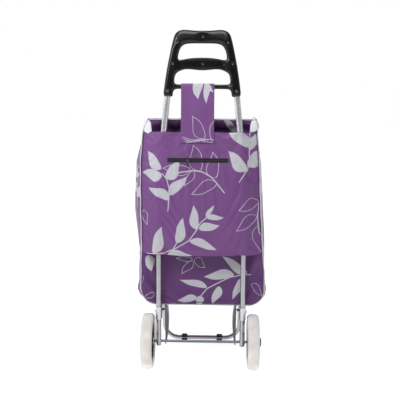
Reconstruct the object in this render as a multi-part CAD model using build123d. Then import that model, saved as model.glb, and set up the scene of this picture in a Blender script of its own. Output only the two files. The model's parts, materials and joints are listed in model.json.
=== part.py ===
from build123d import *
import os
from math import cos, radians, sin, tan

# A two-wheeled shopping trolley: a tubular steel frame with a moulded handle, a fold-up foot,
# and a fabric bag that a rear sleeve and a strap hold to the uprights.
# +Z is up, +X is to the right for someone standing behind the handle, and +Y points from the
# uprights towards the bag and the foot. The uprights stand on y = 0 while the parts are drawn.

# Overall
TOTAL_HEIGHT = 958.0
FRAME_SHIFT = 81.25  # moves the middle of the finished trolley's footprint to y = 0

# Uprights
UPRIGHT_X = 120.0
LOWER_TUBE_RADIUS = 7.5
LOWER_TUBE_WALL = 1.2
LOWER_TUBE_BOTTOM = 70.0
LOWER_TUBE_TOP = 530.0
UPPER_TUBE_RADIUS = 8.9
UPPER_TUBE_BORE = 7.6
UPPER_TUBE_BOTTOM = 470.0
UPPER_TUBE_KNEE = 539.5
UPPER_TUBE_TOP = 862.0
UPPER_TUBE_LEAN = 0.103  # how far each upright moves inwards for each unit that it rises
KNEE_RADIUS = 150.0
RIVET_HEIGHT = 500.0

# Wheels and axle
AXLE_RADIUS = 4.0
WHEEL_RADIUS = 80.0
WHEEL_X = 151.0
TYRE_WIDTH = 33.0
TYRE_INNER_RADIUS = 58.0
TYRE_SHOULDER = 10.0
BUSH_RADIUS = 7.0
HUB_RADIUS = 13.0
HUB_HALF_WIDTH = 13.5
SPOKE_COUNT = 6
RUNNING_CLEARANCE = 0.06
CAP_RADIUS = 15.5
CAP_DEPTH = 10.0

# Fold-up foot
FOOT_TUBE_RADIUS = 7.0
FOOT_TUBE_WALL = 1.2
FOOT_REACH = 231.0
FOOT_BAR_HEIGHT = 11.0
PIVOT_Y = 19.0
PIVOT_Z = 164.0
PIVOT_BOLT_RADIUS = 3.0
LATCH_PIN_Y = 38.0
LATCH_INNER = ((98.5, 188), (92.8, 150), (99.0, 69))  # the bowed side, top to bottom, in X and Z
LATCH_OUTER = ((102.5, 188), (101.8, 128), (101.3, 69))
FOOT_RING_X = 56.0
FOOT_RING_RADIUS = 11.5
FOOT_RING_WIDTH = 18.0
FOOT_RING_SLOT = 4.8

# Saddle brackets
SADDLE_BOTTOM = 146.0
SADDLE_TOP = 182.5
SADDLE_SHEET = 1.5
SADDLE_GAP = 0.1
SADDLE_FRONT = 29.0
EAR_RADIUS = 16.0  # the latch pins swing just outside this

# Handle
HANDLE_BOTTOM = 777.0
HANDLE_HALF_DEPTH = 13.0
HANDLE_WALL = 2.5
HANDLE_BOTTOM_X = 107.3
HANDLE_SHOULDER_X = 84.4
GRIP_CORNER_RADIUS = 42.0
CROSSBAR_TOP = 812.0
CROSSBAR_BOTTOM = 799.0
CROSSBAR_HALF_DEPTH = 9.0
HANDLE_SCREWS = ((0, 939), (68, 924), (-68, 924), (82, 867), (-82, 867), (0, 866), (80, 806), (-80, 806))
TUBE_SCREW_X = 94.0
TUBE_SCREW_Z = 792.5

# Bag
BAG_BACK = 11.0
BAG_FRONT = 231.0
BAG_BOTTOM = 188.0
BAG_TOP = 716.0
BAG_CORNER_RADIUS = 42.0
BAG_WALL = 1.5
BAG_TOP_HALF_WIDTH = 178.0
BAG_BACK_HALF_WIDTH = 170.0
BAG_FRONT_HALF_WIDTH = 172.0
BAG_MID_HALF_WIDTH = 187.0
BAG_QUARTER_HALF_WIDTH = 183.0
CHEST_HEIGHT = 625.0
LID_SLOPE = 9.5  # degrees down towards the front
SHOULDER_HEIGHT = 685.0
SHOULDER_HALF_WIDTH = 165.0
PEAK_HALF_WIDTH = 150.0
PIPING_RADIUS = 2.5

# Lid
LID_THICKNESS = 2.0
LID_GAP = 0.4
LID_FRONT = 236.5
LID_FLAP_BOTTOM = 548.0
LID_FLAP_HALF_WIDTH = 158.0

# Rear sleeve, its zipped pocket and the strap
SLEEVE_BOTTOM = 337.0
SLEEVE_TOP = 682.0
SLEEVE_HALF_WIDTH = 162.0
SLEEVE_FLAT_HALF_WIDTH = 132.0
SLEEVE_OUTER = -11.0
SLEEVE_SHEET = 1.2
ZIP_HEIGHT = 604.0
ZIP_LEFT = -95.0
ZIP_RIGHT = 74.0
ZIP_TAPE_HEIGHT = 12.0
ZIP_TAPE_SHEET = 0.7
ZIP_COIL_DEPTH = 1.6
ZIP_COIL_HEIGHT = 3.4
SLIDER_X = -38.0
SLIDER_LENGTH = 11.0
SLIDER_HEIGHT = 8.0
SLIDER_GAP = 0.35
STRAP_X = -12.0
STRAP_WIDTH = 91.0
STRAP_SHEET = 1.6
STRAP_BOTTOM = 652.0


def emit(name, *solids):
    """Writes one sub-part, moved into the finished frame."""
    placed = [Pos(0, -FRAME_SHIFT, 0) * solid for solid in solids]
    shape = placed[0] if len(placed) == 1 else Compound(children=placed)
    export_step(shape, f"parts/{name}.step")


def block(x_from, x_to, y_from, y_to, z_from, z_to):
    """A box between two corners."""
    middle = Pos((x_from + x_to) / 2, (y_from + y_to) / 2, (z_from + z_to) / 2)
    return middle * Box(x_to - x_from, y_to - y_from, z_to - z_from)


def rod_x(radius, x_from, x_to, y, z):
    """A round bar along X."""
    return Pos((x_from + x_to) / 2, y, z) * Rot(0, 90, 0) * Cylinder(radius, abs(x_to - x_from))


def rod_y(radius, y_from, y_to, x, z):
    """A round bar along Y."""
    return Pos(x, (y_from + y_to) / 2, z) * Rot(90, 0, 0) * Cylinder(radius, y_to - y_from)


def bar_along(path, radius):
    """A round bar that follows a path."""
    return sweep(Plane(path @ 0, z_dir=path % 0) * Circle(radius), path=path)


def pipe_along(path, radius, wall):
    """A round tube that follows a path."""
    return bar_along(path, radius) - bar_along(path, radius - wall)


def prism_y(face, y_from, y_to):
    """A face drawn in X and Z, given its depth along Y."""
    upright = Plane(origin=(0, y_to, 0), x_dir=(1, 0, 0), z_dir=(0, -1, 0)) * face
    return extrude(upright, amount=y_to - y_from)


def prism_x(face, x_from, x_to):
    """A face drawn in Y and Z, given its width along X."""
    upright = Plane(origin=(x_from, 0, 0), x_dir=(0, 1, 0), z_dir=(1, 0, 0)) * face
    return extrude(upright, amount=x_to - x_from)


def both_sides(solid):
    """A right-hand piece and its mirror image."""
    return solid, mirror(solid, about=Plane.YZ)


def upright_x(z):
    """How far the middle of the right upright is from the centre plane at a height."""
    return UPRIGHT_X - UPPER_TUBE_LEAN * max(0.0, z - UPPER_TUBE_KNEE)


# ---------------------------------------------------------------- uprights


def lower_tube():
    middle = (LOWER_TUBE_BOTTOM + LOWER_TUBE_TOP) / 2
    length = LOWER_TUBE_TOP - LOWER_TUBE_BOTTOM
    tube = Pos(UPRIGHT_X, 0, middle) * Cylinder(LOWER_TUBE_RADIUS, length)
    tube -= Pos(UPRIGHT_X, 0, middle) * Cylinder(LOWER_TUBE_RADIUS - LOWER_TUBE_WALL, length)
    tube -= rod_x(AXLE_RADIUS + 0.05, UPRIGHT_X - 10, UPRIGHT_X + 10, 0, WHEEL_RADIUS)
    tube -= rod_y(2.0, -12, 0, UPRIGHT_X, RIVET_HEIGHT)
    return tube


def upper_tube():
    path = FilletPolyline(
        (UPRIGHT_X, 0, UPPER_TUBE_BOTTOM),
        (UPRIGHT_X, 0, UPPER_TUBE_KNEE),
        (upright_x(UPPER_TUBE_TOP), 0, UPPER_TUBE_TOP),
        radius=KNEE_RADIUS,
    )
    tube = pipe_along(path, UPPER_TUBE_RADIUS, UPPER_TUBE_RADIUS - UPPER_TUBE_BORE)
    tube -= rod_y(2.0, -12, 0, UPRIGHT_X, RIVET_HEIGHT)
    tube -= rod_y(2.0, -20, 0, TUBE_SCREW_X, TUBE_SCREW_Z)
    return tube


def tube_rivet():
    """A blind rivet with a low round head that joins the two tubes of one upright."""
    shank = rod_y(1.95, -UPPER_TUBE_RADIUS, -5.0, UPRIGHT_X, RIVET_HEIGHT)
    head = rod_y(1.95, -UPPER_TUBE_RADIUS - 0.3, -UPPER_TUBE_RADIUS, UPRIGHT_X, RIVET_HEIGHT)
    return shank + head


def tube_plug():
    """A plastic plug pushed into the bottom end of an upright."""
    bore = LOWER_TUBE_RADIUS - LOWER_TUBE_WALL
    flange = Pos(UPRIGHT_X, 0, LOWER_TUBE_BOTTOM - 1.25) * Cylinder(LOWER_TUBE_RADIUS, 2.5)
    flange = fillet(flange.faces().sort_by(Axis.Z)[0].edges(), 1.8)
    stem = Pos(UPRIGHT_X, 0, LOWER_TUBE_BOTTOM + 2.5) * Cylinder(bore, 5.0)
    return flange + stem


# ---------------------------------------------------------------- wheels


def about_axle(section, side):
    """A wheel piece: its section is drawn with X along the axle and Z as the radius."""
    turned = revolve(Plane.XZ * section, Axis.X)
    wheel = Pos(WHEEL_X, 0, WHEEL_RADIUS) * turned
    return wheel if side > 0 else mirror(wheel, about=Plane.YZ)


def tyre(side):
    height = WHEEL_RADIUS - TYRE_INNER_RADIUS
    section = Pos(0, TYRE_INNER_RADIUS + height / 2) * Rectangle(TYRE_WIDTH, height)
    outer = section.vertices().group_by(Axis.Y)[-1]
    section = fillet(outer, TYRE_SHOULDER)
    inner = section.vertices().group_by(Axis.Y)[0]
    section = fillet(inner, 2.5)
    return about_axle(section, side)


def wheel_hub(side):
    """A moulded wheel centre: a rim, flat spokes with a rib, and a boss for the bush."""
    rim = Pos(0, TYRE_INNER_RADIUS - 2) * Rectangle(24, 4)
    web = Pos(0, TYRE_INNER_RADIUS - 6) * Rectangle(8, 4)
    boss = Pos(0, (HUB_RADIUS + BUSH_RADIUS) / 2) * Rectangle(2 * HUB_HALF_WIDTH, HUB_RADIUS - BUSH_RADIUS)
    spoke_from = HUB_RADIUS - 2
    spoke_to = TYRE_INNER_RADIUS - 6
    spoke_middle = (spoke_from + spoke_to) / 2
    spoke_length = spoke_to - spoke_from
    flat = Pos(0, 0, spoke_middle) * Box(5, 13, spoke_length)
    rib = Pos(0, 0, spoke_middle) * Box(14, 4, spoke_length)
    spoke = flat + rib
    hub = revolve(Plane.XZ * (rim + web), Axis.X)
    hub += revolve(Plane.XZ * boss, Axis.X)
    for index in range(SPOKE_COUNT):
        hub += Rot(index * 360 / SPOKE_COUNT, 0, 0) * spoke
    hub = Pos(WHEEL_X, 0, WHEEL_RADIUS) * hub
    return hub if side > 0 else mirror(hub, about=Plane.YZ)


def hub_bush(side):
    inner = AXLE_RADIUS + RUNNING_CLEARANCE
    section = Pos(0, (BUSH_RADIUS + inner) / 2) * Rectangle(2 * HUB_HALF_WIDTH + 1, BUSH_RADIUS - inner)
    return about_axle(section, side)


def hub_cap(side):
    """A domed cap pressed on the outside of the hub, over the push nut."""
    start = WHEEL_X + HUB_HALF_WIDTH + 0.5
    cap = rod_x(CAP_RADIUS, start, start + CAP_DEPTH, 0, WHEEL_RADIUS)
    cap = fillet(cap.faces().sort_by(Axis.X)[-1].edges(), CAP_DEPTH - 2.0)
    cap -= rod_x(CAP_RADIUS - 5.0, start, start + CAP_DEPTH - 1.8, 0, WHEEL_RADIUS)
    return cap if side > 0 else mirror(cap, about=Plane.YZ)


def axle():
    end = WHEEL_X + HUB_HALF_WIDTH + 3.6
    bar = rod_x(AXLE_RADIUS, -end, end, 0, WHEEL_RADIUS)
    return chamfer(bar.edges().filter_by(GeomType.CIRCLE), 0.6)


def axle_ring(inner_x, outer_x, outer_radius):
    """A washer or push nut on the axle."""
    ring = rod_x(outer_radius, inner_x, outer_x, 0, WHEEL_RADIUS)
    return ring - rod_x(AXLE_RADIUS, inner_x, outer_x, 0, WHEEL_RADIUS)


# ---------------------------------------------------------------- fold-up foot


def foot_frame():
    start = PIVOT_Y - 6.0
    path = FilletPolyline(
        (-UPRIGHT_X, start, PIVOT_Z),
        (-UPRIGHT_X, FOOT_REACH, PIVOT_Z),
        (-UPRIGHT_X, FOOT_REACH, FOOT_BAR_HEIGHT),
        (UPRIGHT_X, FOOT_REACH, FOOT_BAR_HEIGHT),
        (UPRIGHT_X, FOOT_REACH, PIVOT_Z),
        (UPRIGHT_X, start, PIVOT_Z),
        radius=[40, 47, 47, 40],
    )
    tube = pipe_along(path, FOOT_TUBE_RADIUS, FOOT_TUBE_WALL)
    for side in (-1, 1):
        middle = side * UPRIGHT_X
        tube -= rod_x(PIVOT_BOLT_RADIUS + RUNNING_CLEARANCE, middle - 12, middle + 12, PIVOT_Y, PIVOT_Z)
        tube -= rod_x(2.5, *sorted((middle - side * 12, middle)), LATCH_PIN_Y, PIVOT_Z)
    return tube


def latch_plate():
    """A bowed leaf, fixed to the foot, whose notch bears on the front of the axle."""
    bow = ThreePointArc(*LATCH_INNER)
    back = ThreePointArc(*LATCH_OUTER)
    top = Line(LATCH_INNER[0], LATCH_OUTER[0])
    bottom = Line(LATCH_INNER[2], LATCH_OUTER[2])
    leaf = prism_y(make_face(bow + back + top + bottom), 1.5, 48)
    outline = Polyline(
        (1.5, 69),
        (9, 69),
        (15, 92),
        (46, 148),
        (46, 174),
        (38, 181.5),
        (7.3, 181.5),
        (6.3, 188),
        (1.5, 188),
        close=True,
    )
    leaf &= prism_x(make_face(outline), 80, 110)
    leaf -= rod_x(AXLE_RADIUS + 0.35, 80, 110, 0, WHEEL_RADIUS)
    leaf -= rod_x(2.5, 99, 110, LATCH_PIN_Y, PIVOT_Z)
    return leaf


def latch_pin():
    """The short spacer pin that holds a leaf to its leg."""
    return rod_x(2.5, 99, UPRIGHT_X - FOOT_TUBE_RADIUS + 3.0, LATCH_PIN_Y, PIVOT_Z)


def foot_ring():
    """A plastic foot clipped round the floor bar, slotted at the back and flat underneath."""
    start = FOOT_RING_X - FOOT_RING_WIDTH / 2
    end = FOOT_RING_X + FOOT_RING_WIDTH / 2
    ring = rod_x(FOOT_RING_RADIUS, start, end, FOOT_REACH, FOOT_BAR_HEIGHT)
    ring = fillet(ring.edges().filter_by(GeomType.CIRCLE), 2.5)
    ring -= rod_x(FOOT_TUBE_RADIUS, start, end, FOOT_REACH, FOOT_BAR_HEIGHT)
    slot_bottom = FOOT_BAR_HEIGHT - FOOT_RING_SLOT / 2
    ring -= block(start - 1, end + 1, FOOT_REACH - 20, FOOT_REACH, slot_bottom, slot_bottom + FOOT_RING_SLOT)
    return ring - block(start - 1, end + 1, FOOT_REACH - 20, FOOT_REACH + 20, -5, 0)


def saddle_bracket():
    """A strap of sheet wrapped round the upright, with two ears that carry the foot's pivot bolt."""
    inner = LOWER_TUBE_RADIUS + SADDLE_GAP
    outer = inner + SADDLE_SHEET
    outside = Circle(outer) + Pos(0, SADDLE_FRONT / 2) * Rectangle(2 * outer, SADDLE_FRONT)
    inside = Circle(inner) + Pos(0, SADDLE_FRONT / 2 + 1) * Rectangle(2 * inner, SADDLE_FRONT + 2)
    strap = extrude(outside - inside, SADDLE_TOP - SADDLE_BOTTOM)
    strap = Pos(UPRIGHT_X, 0, SADDLE_BOTTOM) * strap
    tips = strap.edges().filter_by(Axis.X).group_by(Axis.Y)[-1]
    strap = fillet(tips, 8.0)
    ear_top = block(UPRIGHT_X - 12, UPRIGHT_X + 12, outer, SADDLE_FRONT + 1, PIVOT_Z, SADDLE_TOP + 1)
    strap -= ear_top - rod_x(EAR_RADIUS, UPRIGHT_X - 13, UPRIGHT_X + 13, PIVOT_Y, PIVOT_Z)
    return strap - rod_x(PIVOT_BOLT_RADIUS, UPRIGHT_X - 12, UPRIGHT_X + 12, PIVOT_Y, PIVOT_Z)


def pivot_bolt():
    ear = UPRIGHT_X + LOWER_TUBE_RADIUS + SADDLE_GAP + SADDLE_SHEET
    far_ear = 2 * UPRIGHT_X - ear
    shank = rod_x(PIVOT_BOLT_RADIUS, far_ear - 6.0, ear, PIVOT_Y, PIVOT_Z)
    head = rod_x(5.2, ear, ear + 3.4, PIVOT_Y, PIVOT_Z)
    head = fillet(head.faces().sort_by(Axis.X)[-1].edges(), 1.6)
    return shank + head


def pivot_nut():
    ear = UPRIGHT_X - LOWER_TUBE_RADIUS - SADDLE_GAP - SADDLE_SHEET
    hexagon = extrude(RegularPolygon(radius=5.6, side_count=6), 4.8)
    nut = Pos(ear - 4.8, PIVOT_Y, PIVOT_Z) * Rot(0, 90, 0) * hexagon
    return nut - rod_x(PIVOT_BOLT_RADIUS, ear - 6, ear + 1, PIVOT_Y, PIVOT_Z)


# ---------------------------------------------------------------- handle


def handle_outline():
    """The handle from behind: a tapered arch with two windows and a low cross bar."""
    outer = Polyline(
        (-HANDLE_BOTTOM_X, HANDLE_BOTTOM),
        (HANDLE_BOTTOM_X, HANDLE_BOTTOM),
        (HANDLE_SHOULDER_X, TOTAL_HEIGHT),
        (-HANDLE_SHOULDER_X, TOTAL_HEIGHT),
        close=True,
    )
    face = make_face(outer)
    face = fillet(face.vertices().group_by(Axis.Y)[-1], GRIP_CORNER_RADIUS)
    upper = ThreePointArc((-69, 878.5), (0, 884), (69, 878.5))
    upper += Polyline((69, 878.5), (62, 920.5), (-62, 920.5), (-69, 878.5))
    window = make_face(upper)
    window = fillet(window.vertices().group_by(Axis.Y)[-1], 24)
    window = fillet(window.vertices().group_by(Axis.Y)[0], 4)
    lower = ThreePointArc((71, 852), (0, 848.6), (-71, 852))
    lower += Polyline((-71, 852), (-82.3, HANDLE_BOTTOM - 1), (82.3, HANDLE_BOTTOM - 1), (71, 852))
    between_legs = make_face(lower)
    between_legs = fillet(between_legs.vertices().group_by(Axis.Y)[-1], 9)
    return face - window - between_legs


def tube_bore(side):
    """The slanted hole that an upright's top end sits in."""
    low = HANDLE_BOTTOM - 10
    high = UPPER_TUBE_TOP + 0.5
    path = Line((side * upright_x(low), 0, low), (side * upright_x(high), 0, high))
    return bar_along(path, UPPER_TUBE_RADIUS)


def cross_bar():
    """One half of the slim bar between the handle's legs that the strap goes over."""
    height = CROSSBAR_TOP - CROSSBAR_BOTTOM
    section = Pos(-CROSSBAR_HALF_DEPTH / 2, (CROSSBAR_TOP + CROSSBAR_BOTTOM) / 2)
    section *= Rectangle(CROSSBAR_HALF_DEPTH, height)
    section = fillet(section.vertices().group_by(Axis.X)[0], 4.0)
    return prism_x(section, -80, 80)


def handle_shell(rear):
    """One moulded half of the handle, hollow behind its face, with ribs and screw posts."""
    outline = handle_outline()
    body = prism_y(outline, -HANDLE_HALF_DEPTH, 0)
    outer_edges = body.faces().sort_by(Axis.Y)[0].edges()
    body = fillet(outer_edges, 5.0)
    hollow = offset(outline, -HANDLE_WALL)
    for x, z in HANDLE_SCREWS:
        hollow -= Pos(x, z) * Circle(4.2)
    for side in (-1, 1):
        for height in (787, 824, 858):
            hollow -= Pos(side * 92, height) * Rectangle(56, 4 if height > 800 else 16)
    pocket = prism_y(hollow, -HANDLE_HALF_DEPTH + HANDLE_WALL, 0)
    body -= pocket
    body += cross_bar()
    for side in (-1, 1):
        body -= tube_bore(side)
    if not rear:
        body = mirror(body, about=Plane.XZ)
    for x, z in HANDLE_SCREWS:
        if rear:
            body -= rod_y(1.9, -HANDLE_HALF_DEPTH, 0, x, z)
            body -= rod_y(3.6, -HANDLE_HALF_DEPTH - 1, -HANDLE_HALF_DEPTH + 4.5, x, z)
        else:
            body -= rod_y(1.7, 0, 8.5, x, z)
    if rear:
        for side in (-1, 1):
            body -= rod_y(2.0, -HANDLE_HALF_DEPTH, 0, side * TUBE_SCREW_X, TUBE_SCREW_Z)
    return body


def handle_screw(x, z):
    """A countersunk self-tapping screw with a cross recess."""
    top = -HANDLE_HALF_DEPTH + 2.3
    seat = -HANDLE_HALF_DEPTH + 4.5
    head = rod_y(3.4, top, seat, x, z)
    head -= block(x - 2, x + 2, top, top + 1, z - 0.4, z + 0.4)
    head -= block(x - 0.4, x + 0.4, top, top + 1, z - 2, z + 2)
    return head + rod_y(1.7, seat, 8.5, x, z)


def handle_tube_screw():
    """A pan head screw that fixes the handle to an upright."""
    head = rod_y(4.2, -HANDLE_HALF_DEPTH - 2.2, -HANDLE_HALF_DEPTH, TUBE_SCREW_X, TUBE_SCREW_Z)
    head = fillet(head.faces().sort_by(Axis.Y)[0].edges(), 1.2)
    return head + rod_y(1.9, -HANDLE_HALF_DEPTH, -4, TUBE_SCREW_X, TUBE_SCREW_Z)


# ---------------------------------------------------------------- bag


def lid_height(y):
    """The height of the bag's sloping mouth above a point on the floor."""
    return BAG_TOP - (y - BAG_BACK) * tan(radians(LID_SLOPE))


def bag_section(y, half_width, inset):
    """The bag's outline from behind at one depth, or that of the space inside the wall."""
    wide = half_width - inset
    chest = min(wide, BAG_TOP_HALF_WIDTH - inset)
    shoulder = SHOULDER_HALF_WIDTH - inset
    peak = PEAK_HALF_WIDTH - inset
    outline = Polyline(
        (-wide, BAG_BOTTOM + inset),
        (wide, BAG_BOTTOM + inset),
        (chest, CHEST_HEIGHT),
        (shoulder, SHOULDER_HEIGHT),
        (peak, BAG_TOP),
        (-peak, BAG_TOP),
        (-shoulder, SHOULDER_HEIGHT),
        (-chest, CHEST_HEIGHT),
        close=True,
    )
    face = make_face(outline)
    face = fillet(face.vertices().group_by(Axis.Y)[0], BAG_CORNER_RADIUS - inset)
    return Plane(origin=(0, y, 0), x_dir=(1, 0, 0), z_dir=(0, -1, 0)) * face


def bag_form(inset):
    """The bag's outer form, or the space inside a wall of the given thickness."""
    back = BAG_BACK + inset
    front = BAG_FRONT - inset
    middle = (back + front) / 2
    sections = [
        bag_section(back, BAG_BACK_HALF_WIDTH, inset),
        bag_section((back + middle) / 2, BAG_QUARTER_HALF_WIDTH, inset),
        bag_section(middle, BAG_MID_HALF_WIDTH, inset),
        bag_section((front + middle) / 2, BAG_QUARTER_HALF_WIDTH, inset),
        bag_section(front, BAG_FRONT_HALF_WIDTH, inset),
    ]
    form = loft(sections, ruled=True)
    above = Polyline(
        (BAG_BACK - 5, lid_height(BAG_BACK - 5)),
        (BAG_FRONT + 5, lid_height(BAG_FRONT + 5)),
        (BAG_FRONT + 5, BAG_TOP + 50),
        (BAG_BACK - 5, BAG_TOP + 50),
        close=True,
    )
    return form - prism_x(make_face(above), -250, 250)


def bag_panels():
    """The bag's back, front, bottom and two sides, cut from one thin-walled form."""
    wide = 300
    tall = BAG_TOP + 50
    shell = bag_form(0) - bag_form(BAG_WALL)
    back_face = BAG_BACK + BAG_WALL
    front_face = BAG_FRONT - BAG_WALL
    floor_top = BAG_BOTTOM + BAG_CORNER_RADIUS
    panels = {
        "bag_back_panel": shell & block(-wide, wide, 0, back_face, 0, tall),
        "bag_front_panel": shell & block(-wide, wide, front_face, 300, 0, tall),
        "bag_bottom": shell & block(-wide, wide, back_face, front_face, 0, floor_top),
        "bag_side_left": shell & block(-wide, 0, back_face, front_face, floor_top, tall),
        "bag_side_right": shell & block(0, wide, back_face, front_face, floor_top, tall),
    }
    return panels


def base_board():
    board = block(-131, 131, 17, 225, BAG_BOTTOM + BAG_WALL + 0.2, BAG_BOTTOM + BAG_WALL + 2.4)
    return fillet(board.edges().filter_by(Axis.Z), 12)


def piping(y, half_width):
    """A sewn cord that runs down one side, along the bottom and up the other side."""
    reach = half_width + PIPING_RADIUS + 0.1
    low = BAG_BOTTOM - PIPING_RADIUS - 0.1
    path = FilletPolyline(
        (-reach, y, SHOULDER_HEIGHT - 12),
        (-reach, y, low),
        (reach, y, low),
        (reach, y, SHOULDER_HEIGHT - 12),
        radius=BAG_CORNER_RADIUS + PIPING_RADIUS,
    )
    return bar_along(path, PIPING_RADIUS)


def lid_sheet():
    """The top of the lid, a sloping sheet that tapers to the bag's back edge."""
    length = (LID_FRONT - BAG_BACK) / cos(radians(LID_SLOPE))
    shoulder = (BAG_TOP - SHOULDER_HEIGHT) / sin(radians(LID_SLOPE))
    outline = Polyline(
        (-PEAK_HALF_WIDTH, 0),
        (PEAK_HALF_WIDTH, 0),
        (SHOULDER_HALF_WIDTH + 1, shoulder),
        (SHOULDER_HALF_WIDTH + 3, length),
        (-SHOULDER_HALF_WIDTH - 3, length),
        (-SHOULDER_HALF_WIDTH - 1, shoulder),
        close=True,
    )
    sheet = extrude(make_face(outline), LID_THICKNESS)
    return Pos(0, BAG_BACK, BAG_TOP + LID_GAP) * Rot(-LID_SLOPE, 0, 0) * sheet


def lid_flap():
    """The part of the lid that hangs over the bag's front."""
    top = lid_height(LID_FRONT) + LID_GAP - 0.2
    face = Pos(0, (top + LID_FLAP_BOTTOM) / 2) * Rectangle(2 * LID_FLAP_HALF_WIDTH, top - LID_FLAP_BOTTOM)
    face = fillet(face.vertices().group_by(Axis.Y)[0], 30)
    return prism_y(face, LID_FRONT - LID_THICKNESS, LID_FRONT)


# ---------------------------------------------------------------- sleeve, zip and strap


def sleeve_panel():
    """The printed rear panel: it passes behind the uprights and meets the bag at both sides."""
    outer = SLEEVE_OUTER
    inner = SLEEVE_OUTER + SLEEVE_SHEET
    edge = BAG_BACK - 0.05
    section = Polyline(
        (-SLEEVE_HALF_WIDTH - 1.2, edge),
        (-SLEEVE_FLAT_HALF_WIDTH - 0.6, outer),
        (SLEEVE_FLAT_HALF_WIDTH + 0.6, outer),
        (SLEEVE_HALF_WIDTH + 1.2, edge),
        (SLEEVE_HALF_WIDTH - 0.4, edge),
        (SLEEVE_FLAT_HALF_WIDTH, inner),
        (-SLEEVE_FLAT_HALF_WIDTH, inner),
        (-SLEEVE_HALF_WIDTH + 0.4, edge),
        close=True,
    )
    panel = Pos(0, 0, SLEEVE_BOTTOM) * extrude(make_face(section), SLEEVE_TOP - SLEEVE_BOTTOM)
    slit = block(ZIP_LEFT + 6, ZIP_RIGHT - 6, outer - 1, inner + 1, ZIP_HEIGHT - 2, ZIP_HEIGHT + 2)
    return panel - slit


def pocket_lining():
    """The pocket behind the zip: a flat pouch sewn to the inside of the sleeve."""
    face = SLEEVE_OUTER + SLEEVE_SHEET
    pouch = block(ZIP_LEFT + 2, ZIP_RIGHT - 2, face, face + 3.4, 440, ZIP_HEIGHT + 12)
    return pouch - block(ZIP_LEFT + 3, ZIP_RIGHT - 3, face - 1, face + 2.6, 441, ZIP_HEIGHT + 11)


def zip_tape():
    outer = SLEEVE_OUTER - ZIP_TAPE_SHEET
    half = ZIP_TAPE_HEIGHT / 2
    tape = block(ZIP_LEFT, ZIP_RIGHT, outer, SLEEVE_OUTER, ZIP_HEIGHT - half, ZIP_HEIGHT + half)
    return tape - block(ZIP_LEFT + 6, ZIP_RIGHT - 6, outer - 1, 0, ZIP_HEIGHT - 0.3, ZIP_HEIGHT + 0.3)


def zip_coil(side):
    """One of the two rows of the zip's coil, above or below the slit."""
    face = SLEEVE_OUTER - ZIP_TAPE_SHEET
    half = ZIP_COIL_HEIGHT / 2
    crest = face - ZIP_COIL_DEPTH
    row = block(ZIP_LEFT + 6, ZIP_RIGHT - 6, crest, face, ZIP_HEIGHT + 0.15, ZIP_HEIGHT + half)
    return row if side > 0 else mirror(row, about=Plane.XY.offset(ZIP_HEIGHT))


def zip_slider():
    """The slider's body: a channel that rides over the coil, with a loop for the puller."""
    face = SLEEVE_OUTER - ZIP_TAPE_SHEET - SLIDER_GAP
    roof = SLEEVE_OUTER - ZIP_TAPE_SHEET - ZIP_COIL_DEPTH - SLIDER_GAP
    half = SLIDER_HEIGHT / 2
    left = SLIDER_X - SLIDER_LENGTH / 2
    right = SLIDER_X + SLIDER_LENGTH / 2
    body = block(left, right, roof - 1.3, face, ZIP_HEIGHT - half, ZIP_HEIGHT + half)
    body = fillet(body.edges().filter_by(Axis.Y), 1.6)
    channel = ZIP_COIL_HEIGHT / 2 + SLIDER_GAP
    body -= block(left - 1, right + 1, roof, face + 1, ZIP_HEIGHT - channel, ZIP_HEIGHT + channel)
    for x in (SLIDER_X - 3.6, SLIDER_X + 3.6):
        body += block(x - 0.7, x + 0.7, roof - 4.1, roof - 1.3, ZIP_HEIGHT - 1.2, ZIP_HEIGHT + 1.2)
    return body + rod_x(0.7, SLIDER_X - 4.3, SLIDER_X + 4.3, puller_pin_y(), ZIP_HEIGHT)


def puller_pin_y():
    return SLEEVE_OUTER - ZIP_TAPE_SHEET - ZIP_COIL_DEPTH - SLIDER_GAP - 3.4


def zip_puller():
    """A flat tab that hangs from the slider's loop."""
    middle = puller_pin_y()
    tab = block(SLIDER_X - 2.6, SLIDER_X + 2.6, middle - 0.8, middle + 0.8, ZIP_HEIGHT - 18, ZIP_HEIGHT)
    tab = fillet(tab.edges().filter_by(Axis.Y).group_by(Axis.Z)[0], 2.0)
    tab += rod_x(1.9, SLIDER_X - 2.6, SLIDER_X + 2.6, middle, ZIP_HEIGHT)
    return tab - rod_x(1.0, SLIDER_X - 3, SLIDER_X + 3, middle, ZIP_HEIGHT)


def strap_loop():
    """The wide strap: up behind the sleeve's top, over the handle's cross bar and down to the bag."""
    half = STRAP_SHEET / 2
    rear = -CROSSBAR_HALF_DEPTH - half - 0.1
    path = FilletPolyline(
        (SLEEVE_OUTER - 1.0 - half, STRAP_BOTTOM),
        (SLEEVE_OUTER - 1.0 - half, SLEEVE_TOP + 10),
        (rear, CROSSBAR_BOTTOM - 4),
        (rear, CROSSBAR_TOP + half + 0.1),
        (-rear, CROSSBAR_TOP + half + 0.1),
        (-rear, CROSSBAR_BOTTOM - 4),
        (BAG_BACK - 3.6, BAG_TOP + 8),
        (BAG_BACK - 3.6, BAG_TOP - 30),
        radius=[20, 40, 4, 4, 20, 40],
    )
    section = trace(path, line_width=STRAP_SHEET)
    return prism_x(section, STRAP_X - STRAP_WIDTH / 2, STRAP_X + STRAP_WIDTH / 2)


def strap_tape():
    """The hook and loop patch between the strap's end and the sleeve."""
    edge = STRAP_WIDTH / 2 - 4
    left = STRAP_X - edge
    right = STRAP_X + edge
    return block(left, right, SLEEVE_OUTER - 1.0, SLEEVE_OUTER, STRAP_BOTTOM + 4, SLEEVE_TOP - 2)


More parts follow.
